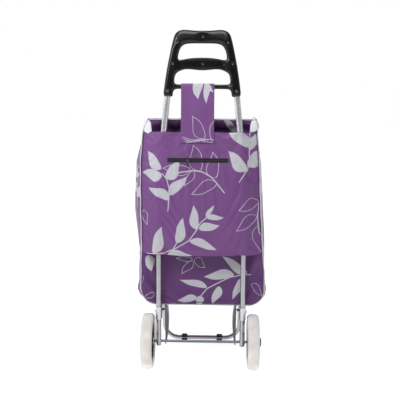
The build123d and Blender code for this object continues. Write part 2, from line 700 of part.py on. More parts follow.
def main():
    os.makedirs("parts", exist_ok=True)

    for name, solid in (
        ("lower_tube", lower_tube()),
        ("upper_tube", upper_tube()),
        ("saddle_bracket", saddle_bracket()),
        ("latch_plate", latch_plate()),
        ("foot_ring", foot_ring()),
    ):
        right, left = both_sides(solid)
        emit(f"{name}_right", right)
        emit(f"{name}_left", left)

    emit("tube_rivets", *both_sides(tube_rivet()))
    emit("tube_plugs", *both_sides(tube_plug()))
    emit("pivot_bolts", *both_sides(pivot_bolt()))
    emit("pivot_nuts", *both_sides(pivot_nut()))
    emit("latch_pins", *both_sides(latch_pin()))

    for side, name in ((1, "right"), (-1, "left")):
        emit(f"tyre_{name}", tyre(side))
        emit(f"wheel_hub_{name}", wheel_hub(side))
        emit(f"hub_bush_{name}", hub_bush(side))
        emit(f"hub_cap_{name}", hub_cap(side))

    hub_face = WHEEL_X + HUB_HALF_WIDTH
    emit("axle", axle())
    emit("axle_washers", *both_sides(axle_ring(134.8, 136.3, 8.5)))
    emit("axle_push_nuts", *both_sides(axle_ring(hub_face + 1.0, hub_face + 2.4, 7.5)))

    emit("foot_frame", foot_frame())

    emit("handle_rear_shell", handle_shell(rear=True))
    emit("handle_front_shell", handle_shell(rear=False))
    emit("handle_screws", *[handle_screw(x, z) for x, z in HANDLE_SCREWS])
    emit("handle_tube_screws", *both_sides(handle_tube_screw()))

    for name, panel in bag_panels().items():
        emit(name, panel)
    emit("base_board", base_board())
    emit("piping_rear", piping(BAG_BACK - 0.7, BAG_BACK_HALF_WIDTH))
    emit("piping_front", piping(BAG_FRONT + 0.7, BAG_FRONT_HALF_WIDTH))
    emit("lid_panel", lid_sheet())
    emit("lid_flap", lid_flap())

    emit("sleeve_panel", sleeve_panel())
    emit("pocket_lining", pocket_lining())
    emit("zip_tape", zip_tape())
    emit("zip_coils", zip_coil(1), zip_coil(-1))
    emit("zip_slider", zip_slider())
    emit("zip_puller", zip_puller())
    emit("handle_strap", strap_loop())
    emit("strap_tape", strap_tape())


main()
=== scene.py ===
import json
import math

import bpy
import numpy as np
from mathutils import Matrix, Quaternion, Vector


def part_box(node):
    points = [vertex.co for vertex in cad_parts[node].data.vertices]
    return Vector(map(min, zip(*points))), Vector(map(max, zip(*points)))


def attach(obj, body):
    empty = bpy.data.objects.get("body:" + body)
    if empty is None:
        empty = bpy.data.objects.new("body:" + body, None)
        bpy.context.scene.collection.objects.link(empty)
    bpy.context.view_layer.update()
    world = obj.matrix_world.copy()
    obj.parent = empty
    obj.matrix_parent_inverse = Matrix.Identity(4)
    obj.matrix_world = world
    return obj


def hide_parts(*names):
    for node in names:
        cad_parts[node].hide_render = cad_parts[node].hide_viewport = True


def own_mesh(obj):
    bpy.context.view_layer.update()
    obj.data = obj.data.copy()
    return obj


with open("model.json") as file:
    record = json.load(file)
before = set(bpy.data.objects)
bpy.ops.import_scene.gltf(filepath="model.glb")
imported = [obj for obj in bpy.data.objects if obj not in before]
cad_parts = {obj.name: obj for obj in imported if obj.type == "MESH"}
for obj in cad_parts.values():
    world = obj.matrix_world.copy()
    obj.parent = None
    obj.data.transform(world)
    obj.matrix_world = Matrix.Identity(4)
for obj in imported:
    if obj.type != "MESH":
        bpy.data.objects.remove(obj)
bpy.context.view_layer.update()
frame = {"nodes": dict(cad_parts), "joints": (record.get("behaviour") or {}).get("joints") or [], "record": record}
scene = bpy.context.scene
nodes = frame["nodes"]
MM = 0.001

# ------------------------------------------------------------------ measures from the frame


def middle(node):
    low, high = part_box(node)
    return (low + high) / 2


UPRIGHT_Y = middle("axle").y  # the uprights' plane; lengths below are measured from it, in mm
FOLD_Z = next(
    n["fixed_end_z_m"]
    for j in frame["joints"]
    if j["name"] == "foot_fold"
    for n in j["deforming_nodes"]
) / MM
BACK_LOW, BACK_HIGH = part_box("bag_back_panel")
FRONT_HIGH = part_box("bag_front_panel")[1]
BAG_BACK = (BACK_LOW.y - UPRIGHT_Y) / MM
BAG_FRONT = (FRONT_HIGH.y - UPRIGHT_Y) / MM
BAG_BOTTOM = BACK_LOW.z / MM
BAG_TOP = BACK_HIGH.z / MM
BAG_TOP_FRONT = FRONT_HIGH.z / MM
SLEEVE_LOW, SLEEVE_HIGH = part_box("sleeve_panel")
SLEEVE_Y = (SLEEVE_LOW.y - UPRIGHT_Y) / MM + 0.6
SLEEVE_BOTTOM = SLEEVE_LOW.z / MM
SLEEVE_TOP = SLEEVE_HIGH.z / MM
STRAP_LOW, STRAP_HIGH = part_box("handle_strap")
TAPE_LOW, TAPE_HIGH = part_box("zip_tape")
CORNER = 42.0  # the radius of the bag's bottom corners, seen from behind
UPRIGHT_X = middle("lower_tube_right").x / MM
KNEE_Z = 539.5  # the uprights lean inwards above this height
LEAN = 0.103


def place(points):
    """Turns millimetres from the uprights' plane into the row frame, in metres."""
    return np.asarray(points, float) * MM + np.array([0, UPRIGHT_Y, 0])


def upright_x(z):
    """How far out the middle of an upright is at a height."""
    return UPRIGHT_X - LEAN * np.maximum(0.0, z - KNEE_Z)


# ------------------------------------------------------------------ node materials


class Finish:
    """One node material, built step by step on a Principled shader."""

    def __init__(self, name, **constants):
        self.material = bpy.data.materials.new(name)
        self.material.use_nodes = True
        self.tree = self.material.node_tree
        self.shader = self.tree.nodes["Principled BSDF"]
        for name, value in constants.items():
            self.shader.inputs[name.replace("_", " ")].default_value = value

    def node(self, kind, settings=None, **links):
        made = self.tree.nodes.new(kind)
        for key, value in (settings or {}).items():
            setattr(made, key, value)
        for name, value in links.items():
            numbered = name[0] == "i" and name[1:].isdigit()
            socket = made.inputs[int(name[1:]) if numbered else name]
            if isinstance(value, bpy.types.NodeSocket):
                self.tree.links.new(value, socket)
            else:
                socket.default_value = value
        return made

    def place(self, scale=(1, 1, 1)):
        coords = self.node("ShaderNodeTexCoord")
        return self.stretch(coords.outputs["Object"], scale)

    def stretch(self, vector, scale=(1, 1, 1)):
        return self.node("ShaderNodeMapping", Vector=vector, Scale=scale).outputs[0]

    def noise(self, vector, scale, detail=3.0, rough=0.55):
        made = self.node("ShaderNodeTexNoise", Vector=vector, Scale=scale, Detail=detail, Roughness=rough)
        return made.outputs[0]

    def spread(self, value, low, high, to_low=0.0, to_high=1.0):
        links = {"Value": value, "From Min": low, "From Max": high, "To Min": to_low, "To Max": to_high}
        return self.node("ShaderNodeMapRange", **links).outputs[0]

    def sum(self, a, b, operation="ADD"):
        return self.node("ShaderNodeMath", {"operation": operation}, i0=a, i1=b).outputs[0]

    def mix(self, share, a, b):
        made = self.node("ShaderNodeMix", {"data_type": "RGBA"}, i0=share)
        for socket, value in ((made.inputs[6], a), (made.inputs[7], b)):
            if isinstance(value, bpy.types.NodeSocket):
                self.tree.links.new(value, socket)
            else:
                socket.default_value = (*value, 1)
        return made.outputs[2]

    def attribute(self, name):
        return self.node("ShaderNodeAttribute", {"attribute_name": name}).outputs["Fac"]

    def bump(self, height, distance, strength=1.0):
        made = self.node("ShaderNodeBump", Height=height, Distance=distance, Strength=strength)
        self.tree.links.new(made.outputs[0], self.shader.inputs["Normal"])

    def to(self, socket, value):
        self.tree.links.new(value, self.shader.inputs[socket])


def tube_finish(name, colour, rough=0.3, metallic=0.75):
    """Silver-painted or zinc-plated steel: fine drawn lines, small scuffs and a slight cloudiness."""
    f = Finish(name, Metallic=metallic)
    cloud = f.noise(f.place(), 45.0)
    lines = f.noise(f.place((900, 900, 12)), 1.0, 2.0)
    scuff = f.noise(f.place((60, 60, 220)), 6.0, 5.0, 0.7)
    darker = tuple(c * 0.92 for c in colour)
    base = f.mix(f.spread(cloud, 0.35, 0.7), darker, colour)
    worn = f.spread(scuff, 0.66, 0.74)
    f.to("Base Color", f.mix(f.sum(worn, 0.05, "MULTIPLY"), base, (0.25, 0.25, 0.26)))
    dulled = f.sum(cloud, f.sum(worn, 0.2, "MULTIPLY"))
    f.to("Roughness", f.spread(dulled, 0.3, 1.0, rough - 0.01, rough + 0.03))
    f.bump(f.sum(f.sum(lines, 0.04, "MULTIPLY"), cloud), 0.00002, 0.2)
    return f.material


def plastic_finish(name, colour, rough, grain=900.0, depth=0.00005, gloss=0.5):
    """Moulded plastic: a fine spark-eroded grain, faint flow marks and rubbed patches."""
    f = Finish(name, Specular_IOR_Level=gloss)
    flow = f.noise(f.place((30, 30, 12)), 1.0, 4.0)
    fine = f.noise(f.place(), grain, 2.0)
    rubbed = f.noise(f.place(), 38.0, 6.0, 0.65)
    lighter = tuple(min(1, c * 1.35 + 0.0008) for c in colour)
    f.to("Base Color", f.mix(f.spread(rubbed, 0.42, 0.75), colour, lighter))
    dulled = f.sum(flow, f.sum(rubbed, 0.4, "MULTIPLY"))
    f.to("Roughness", f.spread(dulled, 0.5, 0.9, rough - 0.02, rough + 0.03))
    f.bump(f.sum(fine, f.sum(flow, 0.8, "MULTIPLY")), depth, 0.6)
    return f.material


def foam_finish(name):
    """Moulded foam: pale, matt, pitted and a little dusty, with painted shade darkening the pits."""
    f = Finish(name, Roughness=0.85, Specular_IOR_Level=0.25)
    pits = f.node("ShaderNodeTexVoronoi", Vector=f.place(), Scale=260.0).outputs["Distance"]
    lumps = f.noise(f.place(), 70.0, 4.0, 0.6)
    dust = f.noise(f.place(), 24.0, 6.0, 0.7)
    base = f.mix(f.spread(dust, 0.38, 0.68), (0.70, 0.665, 0.635), (0.57, 0.537, 0.51))
    # The pits are painted darker: painted shade in the foam's hollows.
    f.to("Base Color", f.mix(f.spread(pits, 0.0, 0.25, 0.35, 0.0), base, (0.42, 0.39, 0.37)))
    f.bump(f.sum(f.sum(pits, 0.35, "MULTIPLY"), lumps), 0.0012, 0.7)
    return f.material


PRINT = (0.40, 0.40, 0.425)
THREAD_PITCH = 0.55


def cloth_finish(name, colour, deep, printed=True, sheen=0.22, rough=0.5):
    """Woven nylon: two crossed sets of threads, a sheen, uneven dye and, if printed, pale ink."""
    f = Finish(name, Sheen_Weight=sheen, Sheen_Roughness=0.35, Specular_IOR_Level=0.36)
    uv = f.node("ShaderNodeUVMap").outputs[0]
    turns = math.tau / (2 * THREAD_PITCH * MM)
    split = f.node("ShaderNodeSeparateXYZ", Vector=uv)
    warp = f.sum(f.sum(split.outputs[0], turns, "MULTIPLY"), 0.0, "SINE")
    weft = f.sum(f.sum(split.outputs[1], turns, "MULTIPLY"), 0.0, "SINE")
    weave = f.sum(warp, weft, "MULTIPLY")
    cloud = f.noise(f.stretch(uv), 14.0, 4.0)
    slub = f.noise(f.stretch(uv, (60, 900, 1)), 1.0, 3.0)
    tone = f.sum(f.spread(cloud, 0.3, 0.7, 0.0, 0.6), f.spread(weave, -1, 1, 0.0, 0.4))
    base = f.mix(tone, deep, colour)
    base = f.mix(f.spread(slub, 0.55, 0.8, 0.0, 0.25), base, tuple(c * 1.35 for c in colour))
    if printed:
        ink = f.attribute("ink")
        vein = f.attribute("vein")
        grain = f.noise(f.stretch(uv), 700.0, 2.0)
        edge = f.sum(ink, f.spread(grain, 0.2, 0.8, -0.25, 0.25))
        mask = f.spread(edge, -0.45, 0.45, 1.0, 0.0)
        pale = f.mix(f.spread(vein, -0.2, 0.35, 0.42, 0.0), PRINT, (0.44, 0.40, 0.50))
        base = f.mix(f.sum(mask, 0.93, "MULTIPLY"), base, pale)
    f.to("Base Color", base)
    f.to("Roughness", f.spread(cloud, 0.3, 0.7, rough - 0.06, rough + 0.1))
    crease = f.noise(f.stretch(uv, (1, 0.6, 1)), 26.0, 3.0)
    f.bump(f.sum(f.sum(weave, 0.05, "MULTIPLY"), crease), 0.0016, 0.32)
    return f.material


UPPER_TUBE = tube_finish("upper_tube_finish", (0.74, 0.745, 0.76), 0.24, 0.85)
# The lower tubes' silver is a darker copy of the upper tubes' silver: painted shade on the lower tubes.
LOWER_TUBE_SHADED = tube_finish("lower_tube_finish", (0.34, 0.345, 0.36), 0.25, 0.9)
ZINC = tube_finish("zinc_finish", (0.5, 0.51, 0.53), 0.28, 0.95)
AXLE_STEEL = tube_finish("axle_finish", (0.15, 0.17, 0.20), 0.3, 0.95)
FOOT_STEEL = tube_finish("foot_tube_finish", (0.42, 0.42, 0.43), 0.24, 0.9)
# The latch plates are painted near black: partly their dark steel, partly painted shade for their shaded inner
# faces.
LATCH_STEEL = tube_finish("latch_finish", (0.10, 0.10, 0.105), 0.45, 0.6)
GUNMETAL = tube_finish("gunmetal_finish", (0.09, 0.09, 0.095), 0.36, 0.9)
HANDLE_BLACK = (0.0012, 0.0012, 0.0016)
HANDLE_PLASTIC = plastic_finish("handle_finish", HANDLE_BLACK, 0.28, 700, 0.000004, 0.36)
HUB_PLASTIC = plastic_finish("hub_finish", (0.012, 0.012, 0.013), 0.42)
RUBBER = plastic_finish("rubber_finish", (0.012, 0.012, 0.012), 0.55, 1500, 0.00008)
SCREW_STEEL = plastic_finish("screw_finish", (0.02, 0.02, 0.022), 0.3)
ZIP_BLACK = cloth_finish("zip_tape_finish", (0.012, 0.012, 0.014), (0.006, 0.006, 0.007), False, 0.1, 0.6)
COIL = plastic_finish("coil_finish", (0.01, 0.01, 0.011), 0.35)
FOAM = foam_finish("foam_finish")
PRINTED = cloth_finish("printed_nylon", (0.138, 0.047, 0.174), (0.110, 0.036, 0.142))
# The back panel's cloth is a darker copy of the printed nylon: painted shade for the panel recessed behind the
# sleeve.
SHADED_BACK_CLOTH = cloth_finish("back_nylon_painted_shade", (0.094, 0.027, 0.126), (0.071, 0.020, 0.099))
STRAP_CLOTH = cloth_finish("strap_nylon", (0.138, 0.048, 0.172), (0.114, 0.039, 0.145))
LINING = cloth_finish("lining_cloth", (0.10, 0.045, 0.13), (0.06, 0.03, 0.085), False, 0.1, 0.65)
PIPING = cloth_finish("piping_cloth", (0.48, 0.47, 0.50), (0.39, 0.38, 0.42), False, 0.2, 0.6)
EAR_CLOTH = cloth_finish("ear_cloth", (0.60, 0.60, 0.62), (0.50, 0.50, 0.53), False, 0.2, 0.6)
BOARD = plastic_finish("board_finish", (0.03, 0.03, 0.032), 0.5)
STITCH = cloth_finish("thread_finish", (0.20, 0.10, 0.24), (0.12, 0.06, 0.15), False, 0.3, 0.6)


def shade(mesh, smooth=True):
    mesh.polygons.foreach_set("use_smooth", [smooth] * len(mesh.polygons))


def paint(node, material):
    mesh = nodes[node].data
    mesh.materials.clear()
    mesh.materials.append(material)


SLOT_FINISH = {
    "zinc_steel": ZINC,
    "foot_steel": FOOT_STEEL,
    "latch_steel": LATCH_STEEL,
    "axle_steel": AXLE_STEEL,
    "handle_plastic": HANDLE_PLASTIC,
    "hub_plastic": HUB_PLASTIC,
    "bush_plastic": RUBBER,
    "black_plastic": RUBBER,
    "rubber_foot": RUBBER,
    "zip_black": COIL,
    "zip_metal": GUNMETAL,
}
for part in frame["record"]["subparts"]:
    finish = SLOT_FINISH.get(part["material_slot"])
    if finish:
        paint(part["node"], finish)
for side in ("left", "right"):
    paint(f"upper_tube_{side}", UPPER_TUBE)
    paint(f"lower_tube_{side}", LOWER_TUBE_SHADED)
paint("handle_tube_screws", AXLE_STEEL)
paint("zip_tape", ZIP_BLACK)
for node in nodes.values():
    shade(node.data)


# ------------------------------------------------------------------ mesh helpers


def make(name, points, faces, uvs=None, material=None):
    """A smooth-shaded mesh object. uvs has one pair for each corner of each face, in metres."""
    mesh = bpy.data.meshes.new(name)
    mesh.from_pydata([tuple(p) for p in points], [], [tuple(int(i) for i in f) for f in faces])
    if uvs is not None:
        layer = mesh.uv_layers.new(name="UVMap")
        layer.data.foreach_set("uv", np.asarray(uvs, np.float32).ravel())
    shade(mesh)
    if material:
        mesh.materials.append(material)
    made = bpy.data.objects.new(name, mesh)
    scene.collection.objects.link(made)
    return made


def grid_faces(rows, columns, closed=False):
    """Quads of a grid of points, row by row; closed joins the last column to the first."""
    row = np.arange(rows - 1)[:, None] * columns
    near = np.arange(columns if closed else columns - 1)
    far = (near + 1) % columns
    return np.stack([row + near, row + far, row + columns + far, row + columns + near], -1).reshape(-1, 4)


def run_length(line):
    """How far along a line each of its points is."""
    return np.concatenate([[0], np.cumsum(np.linalg.norm(np.diff(line, axis=0), axis=1))])


def points_at(at, length, line):
    """The places on a line at some lengths along it."""
    return np.stack([np.interp(at, length, column) for column in line.T], -1)


def read(items, name, width):
    """One property of a mesh's points or corners, as rows of numbers."""
    found = np.zeros(len(items) * width, np.float32)
    items.foreach_get(name, found)
    return found.reshape(-1, width)


def settle(points, faces, held, frames, grow, pressure, bend, cap):
    """Cloth simulation. held is each point's pin weight, and cap, in mm, is the most that one moves."""
    cloth_object = make("settling", points, faces)
    group = cloth_object.vertex_groups.new(name="held")
    for weight in np.unique(np.round(held, 2)):
        if weight > 0:
            members = np.nonzero(np.round(held, 2) == weight)[0]
            group.add([int(i) for i in members], float(weight), "REPLACE")
    modifier = cloth_object.modifiers.new("settle", "CLOTH")
    cloth = modifier.settings
    cloth.quality = 6
    cloth.mass = 0.12
    cloth.air_damping = 3.0
    cloth.tension_stiffness = cloth.compression_stiffness = 25
    cloth.shear_stiffness = 8
    cloth.bending_stiffness = bend
    cloth.vertex_group_mass = "held"
    cloth.shrink_min = -grow
    cloth.use_pressure = True
    cloth.uniform_pressure_force = pressure
    modifier.collision_settings.use_collision = False
    modifier.point_cache.frame_start = 1
    modifier.point_cache.frame_end = frames
    for number in range(1, frames + 1):
        scene.frame_set(number)
    depsgraph = bpy.context.evaluated_depsgraph_get()
    mesh = cloth_object.evaluated_get(depsgraph).data
    settled = read(mesh.vertices, "co", 3).astype(float)
    scene.frame_set(1)
    bpy.data.objects.remove(cloth_object)
    moved = settled - points
    size = np.linalg.norm(moved, axis=1)
    limit = cap * MM
    scale = np.where(size > 1e-9, limit * np.tanh(size / limit) / np.maximum(size, 1e-9), 1.0)
    return points + moved * scale[:, None]


def thicken(piece, thickness, levels, inside=None):
    """Subdivides a sheet, gives it thickness with its lining on the inside, and applies its modifiers."""
    if levels:
        fine = piece.modifiers.new("fine", "SUBSURF")
        fine.levels = levels
        fine.render_levels = levels
        fine.uv_smooth = "NONE"
        fine.boundary_smooth = "PRESERVE_CORNERS"
    if thickness:
        solid = piece.modifiers.new("solid", "SOLIDIFY")
        solid.thickness = thickness * MM
        solid.offset = 0.0
        if inside:
            piece.data.materials.append(inside)
            solid.material_offset = 1
            solid.material_offset_rim = 0
    depsgraph = bpy.context.evaluated_depsgraph_get()
    mesh = bpy.data.meshes.new_from_object(piece.evaluated_get(depsgraph))
    piece["skin_points"] = len(mesh.vertices) // 2
    piece.modifiers.clear()
    piece.data = mesh
    shade(mesh)


def subset(piece, name, keep):
    """A copy of some faces of a piece, with the whole piece's shading across the cut."""
    mesh = piece.data
    points = read(mesh.vertices, "co", 3).astype(float)
    normals = read(mesh.vertices, "normal", 3)
    uv = read(mesh.uv_layers[0].data, "uv", 2)
    faces, corners, materials = [], [], []
    kept_sides, lost_sides = {}, set()
    skin = piece["skin_points"]
    for polygon in mesh.polygons:
        ids = list(polygon.vertices)
        sides = list(zip(ids, ids[1:] + ids[:1]))
        if keep(polygon.center):
            faces.append(ids)
            corners.extend(polygon.loop_indices)
            materials.append(polygon.material_index)
            for side, loop in zip(sides, polygon.loop_indices):
                kept_sides[side] = loop
        else:
            lost_sides.update(sides)
    for (a, b), loop in kept_sides.items():
        if (b, a) in lost_sides and a < skin and b < skin:
            faces.append([b, a, a + skin, b + skin])
            corners.extend([loop] * 4)
            materials.append(0)
    used, inverse = np.unique(np.concatenate([np.array(f) for f in faces]), return_inverse=True)
    flat, start = [], 0
    for f in faces:
        flat.append(inverse[start : start + len(f)])
        start += len(f)
    made = make(name, points[used], flat, uv[corners])
    for material in mesh.materials:
        made.data.materials.append(material)
    made.data.polygons.foreach_set("material_index", materials)
    made.data.normals_split_custom_set_from_vertices([tuple(n) for n in normals[used]])
    return made


def tube_along(name, path, radius, material, sides=10):
    """A round cord that follows points in millimetres, closed at both ends."""
    path = place(path)
    tangents = np.gradient(path, axis=0)
    tangents /= np.linalg.norm(tangents, axis=1)[:, None]
    across = np.cross(tangents, (0, 1, 0))
    short = np.linalg.norm(across, axis=1) < 0.2
    across[short] = np.cross(tangents[short], (0, 0, 1))
    across /= np.linalg.norm(across, axis=1)[:, None]
    other = np.cross(tangents, across)
    length = run_length(path)
    angles = np.linspace(0, math.tau, sides, endpoint=False)
    ring = across[:, None] * np.cos(angles)[None, :, None]
    ring = ring + other[:, None] * np.sin(angles)[None, :, None]
    points = (path[:, None] + ring * radius * MM).reshape(-1, 3)
    faces = grid_faces(len(path), sides, True)
    uvs = []
    for f in faces:
        i, j = divmod(int(f[0]), sides)
        a = angles[j] * radius * MM
        b = a + math.tau * radius * MM / sides
        uvs += [(a, length[i]), (b, length[i]), (b, length[i + 1]), (a, length[i + 1])]
    caps = [list(range(sides))[::-1], [(len(path) - 1) * sides + k for k in range(sides)]]
    faces = [list(f) for f in faces] + caps
    uvs += [(0.0, 0.0)] * (2 * sides)
    return make(name, points, faces, uvs, material)


# ------------------------------------------------------------------ the printed leaves

# A leaf is its tip and its base in millimetres on the cloth, across and up, its half-width and its bend.
SLEEVE_LEAVES = [
    (-150, 629, -113, 578, 14, 4),
    (-166, 568, -110, 560, 16, 1),
    (-60, 602, -97, 552, 16, -2),
    (-40, 560, -87, 508, 14, 3),
    (-148, 526, -90, 496, 14, -3),
    (-22, 481, -12, 413, 13, 3),
    (35, 482, 14, 447, 6, 1),
    (63, 447, 15, 447, 8, 0),
    (51, 425, -6, 415, 12, 1),
    (-50, 446, -68, 373, 14, -3),
    (44, 355, -31, 380, 12, 4),
    (-111, 417, -134, 340, 16, -3),
    (-24, 338, -93, 338, 12, 2),
    (71, 690, 131, 643, 16, -3),
    (73, 632, 125, 576, 17, 4),
    (164, 688, 133, 634, 13, 2),
    (168, 634, 128, 588, 17, -2),
]
SLEEVE_OUTLINES = [
    (-23, 646, -6, 576, 18, 2),
    (31, 627, 36, 556, 17, 2),
    (-27, 511, 41, 542, 15, -3),
    (-47, 534, -23, 576, 9, 2),
    (-107, 581, -32, 579, 14, 2),
    (105, 465, 160, 489, 14, -2),
    (98, 407, 155, 448, 14, -2),
    (169, 344, 157, 417, 14, -2),
    (-153, 420, -163, 461, 8, 0),
]
SLEEVE_STEMS = [
    [(-93, 463), (-90, 496), (-90, 527), (-97, 552), (-109, 567)],
    [(-155, 337), (-106, 341), (-75, 355), (-34, 380), (-12, 412), (-3, 431), (15, 447)],
    [(-68, 373), (-79, 352)],
    [(104, 544), (125, 576), (132, 597), (133, 652), (131, 684)],
    [(-87, 555), (-60, 571), (-23, 576), (2, 573), (27, 559), (45, 539), (63, 516)],
    [(162, 483), (158, 451), (162, 404), (168, 392)],
]
STRAP_LEAVES = [(-10, 771, -15, 832, 14, 0), (12, 759, 12, 820, 9, 0), (32, 790, 12, 810, 5, 0)]
STRAP_OUTLINES = [(-26, 725, 6, 665, 15, 2), (38, 717, 33, 658, 17, -2)]
STRAP_STEMS = [
    [(-54, 668), (-26, 660), (4, 663), (36, 661)],
    [(-47, 651), (-14, 659), (17, 661)],
    [(-44, 657), (-30, 654), (-8, 661), (6, 657), (30, 654)],
    [(-50, 662), (-38, 659), (-20, 655), (-6, 657)],
]
LOWER_LEAVES = [
    (-141, 283, -151, 331, 14, 0),
    (7, 271, 93, 277, 14, -2),
    (-61, 261, 17, 240, 10, -2),
    (-68, 202, -10, 209, 10, -1),
    (33, 192, 53, 243, 12, 1),
    (90, 206, 112, 264, 11, 4),
    (-2, 183, -4, 215, 11, 0),
    (52, 724, 100, 682, 9, 0),
]
HATCHED_LEAVES = [(59, 330, 132, 280, 13, 2)]
LOWER_OUTLINES = [
    (-71, 322, -25, 321, 7, 0),
    (-55, 278, -25, 316, 10, 1),
    (11, 297, -19, 321, 11, 1),
    (176, 216, 147, 251, 9, 0),
    (-170, 244, -176, 273, 8, 0),
    (-164, 204, -135, 221, 7, 2),
]
LOWER_STEMS = [[(143, 277), (112, 275), (83, 270), (58, 258), (17, 236), (1, 216), (-7, 206)]]
LINE_HALF_WIDTH = 0.8
STEM_HALF_WIDTH = 1.5
FAR = 999.0


def leaf_width(share):
    """A leaf's half-width along its length, 1 at its widest: a round base and a drawn-out tip."""
    return np.power(share, 0.66) * np.power(1 - share, 1.12) / 0.3113


def leaf_edge(u, v, leaf):
    """The distance from a leaf's edge, negative inside, and the place along and across the leaf."""
    tip_u, tip_v, base_u, base_v, half, bend = leaf
    length = math.hypot(tip_u - base_u, tip_v - base_v)
    along_u, along_v = (tip_u - base_u) / length, (tip_v - base_v) / length
    s = ((u - base_u) * along_u + (v - base_v) * along_v) / length
    across = (u - base_u) * -along_v + (v - base_v) * along_u
    inside = np.clip(s, 0.0, 1.0)
    across = across - bend * 4 * inside * (1 - inside)
    across = across - math.copysign(0.17 * half, bend) * np.sin(math.tau * inside)
    shape = leaf_width(inside)
    step = 0.01
    slope = (leaf_width(np.clip(inside + step, 0, 1)) - shape) * half / (step * length)
    edge = (np.abs(across) - half * shape) / np.sqrt(1 + np.minimum(slope * slope, 4.0))
    beyond = np.maximum(np.maximum(-s, s - 1), 0) * length
    return np.where(beyond > 0, np.hypot(beyond, across), edge), s * length, across


def stem_distance(u, v, stem):
    best = np.full(u.shape, FAR)
    for (u0, v0), (u1, v1) in zip(stem, stem[1:]):
        du, dv = u1 - u0, v1 - v0
        t = np.clip(((u - u0) * du + (v - v0) * dv) / (du * du + dv * dv), 0, 1)
        best = np.minimum(best, np.hypot(u - u0 - t * du, v - v0 - t * dv))
    return best


def ink_on(piece, leaves, outlines, stems, hatched=(), stem_half_width=STEM_HALF_WIDTH):
    """Stores on each corner how far it is from the print's edge, and from a leaf's drawn veins."""
    mesh = piece.data
    u, v = read(mesh.uv_layers[0].data, "uv", 2).astype(float).T / MM
    ink = np.full(u.shape, FAR)
    vein = np.full(u.shape, FAR)
    for leaf in list(leaves) + list(hatched):
        edge, along, across = leaf_edge(u, v, leaf)
        ink = np.minimum(ink, edge)
        if leaf in hatched:
            ribs = np.abs((along - np.abs(across) * 0.8) % 7.0 - 3.5) - 0.5
            near = np.where(edge < -1.5, np.minimum(ribs, np.abs(across) - 0.5), FAR)
            vein = np.minimum(vein, near)
    for leaf in outlines:
        ink = np.minimum(ink, np.abs(leaf_edge(u, v, leaf)[0]) - LINE_HALF_WIDTH)
    for stem in stems:
        ink = np.minimum(ink, stem_distance(u, v, stem) - stem_half_width)
    for name, values in (("ink", ink), ("vein", vein)):
        layer = mesh.attributes.new(name, "FLOAT", "CORNER")
        layer.data.foreach_set("value", values.astype(np.float32))


ALL_LEAVES = SLEEVE_LEAVES + LOWER_LEAVES
ALL_OUTLINES = SLEEVE_OUTLINES + LOWER_OUTLINES
ALL_STEMS = SLEEVE_STEMS + LOWER_STEMS

# ------------------------------------------------------------------ the bag

FOLD_ROW = 52
STRAIGHT_ROWS = 80
ARC_ROWS = 11
ACROSS = 60
DEPTH = 36
SEAM_HEIGHTS = (188, 230, 290, 340, 400, 460, 520, 590, 630, 683, 700, 716)
LEFT_SEAM = (170, 170, 169.5, 168.5, 168.5, 169.5, 170.5, 170, 167.5, 163, 157, 150)
RIGHT_SEAM = (180, 180, 178, 174, 170, 166, 163, 160, 157, 153, 151, 148)
FRONT_SEAM = (172, 172, 172, 172, 172, 172, 171, 169, 167, 163, 157, 150)
BULGE_HEIGHTS = (188, 228, 280, 340, 400, 460, 600, 660, 700, 716)
LEFT_BULGE = (13, 17, 18, 20, 27, 31, 29, 17, 5, 1)
RIGHT_BULGE = (9, 13, 15, 18, 19, 18, 15, 9, 3, 1)
CAVE_HEIGHTS = (188, 196, 225, 290, 400, 690, 703, 716)
CAVE_DEPTHS = (0, 5, 12, 17, 16, 22, 6, 0)
BAG_CLOTH = 0.9  # thickness
BOTTOM_SAG = 1.5
FRONT_CROWN = 9.0
GUSSET = 220  # how wide the print on the gusset is
MOUTH_PRINT = 0.716  # the height on the print where the gusset starts, in metres


def mouth_height(y):
    share = (y - BAG_BACK) / (BAG_FRONT - BAG_BACK)
    return BAG_TOP + (BAG_TOP_FRONT - BAG_TOP) * share


def seam_x(side, height, share):
    """How far out the bag's edge is at a height, from the back (share 0) to the front (1)."""
    rear = np.interp(height, SEAM_HEIGHTS, LEFT_SEAM if side < 0 else RIGHT_SEAM)
    ahead = np.interp(height, SEAM_HEIGHTS, FRONT_SEAM)
    fullness = np.interp(height, BULGE_HEIGHTS, LEFT_BULGE if side < 0 else RIGHT_BULGE)
    bulge = share**0.6 * (1 - share) ** 1.2 / 0.318  # 1 at a third of the way forward
    return rear + (ahead - rear) * share + fullness * bulge


def bag_edge(side, row, share):
    """One point of the bag's edge: row counts down from the mouth and round the bottom corner."""
    y = BAG_BACK + (BAG_FRONT - BAG_BACK) * share
    corner_z = BAG_BOTTOM + CORNER
    if row <= STRAIGHT_ROWS:
        height = np.interp(row, (0, FOLD_ROW, STRAIGHT_ROWS), (BAG_TOP, FOLD_Z, corner_z))
        z = height
        if height > FOLD_Z:
            z = FOLD_Z + (height - FOLD_Z) * (mouth_height(y) - FOLD_Z) / (BAG_TOP - FOLD_Z)
        return np.array([side * seam_x(side, height, share), y, z])
    angle = math.radians(90.0 * (row - STRAIGHT_ROWS) / ARC_ROWS)
    outer = seam_x(side, corner_z, share)
    inner = seam_x(side, corner_z, 0 if share < 0.5 else 1) - CORNER
    x = inner + (outer - inner) * math.cos(angle)
    return np.array([side * x, y, corner_z - CORNER * math.sin(angle)])


ROWS = STRAIGHT_ROWS + ARC_ROWS + 1


def back_cave(z, share):
    """How far the back panel hangs away from the uprights, towards the inside of the bag."""
    side = min(1.0, 6.0 * min(share, 1 - share))
    side = side * side * (3 - 2 * side)
    return np.interp(z, CAVE_HEIGHTS, CAVE_DEPTHS) * side


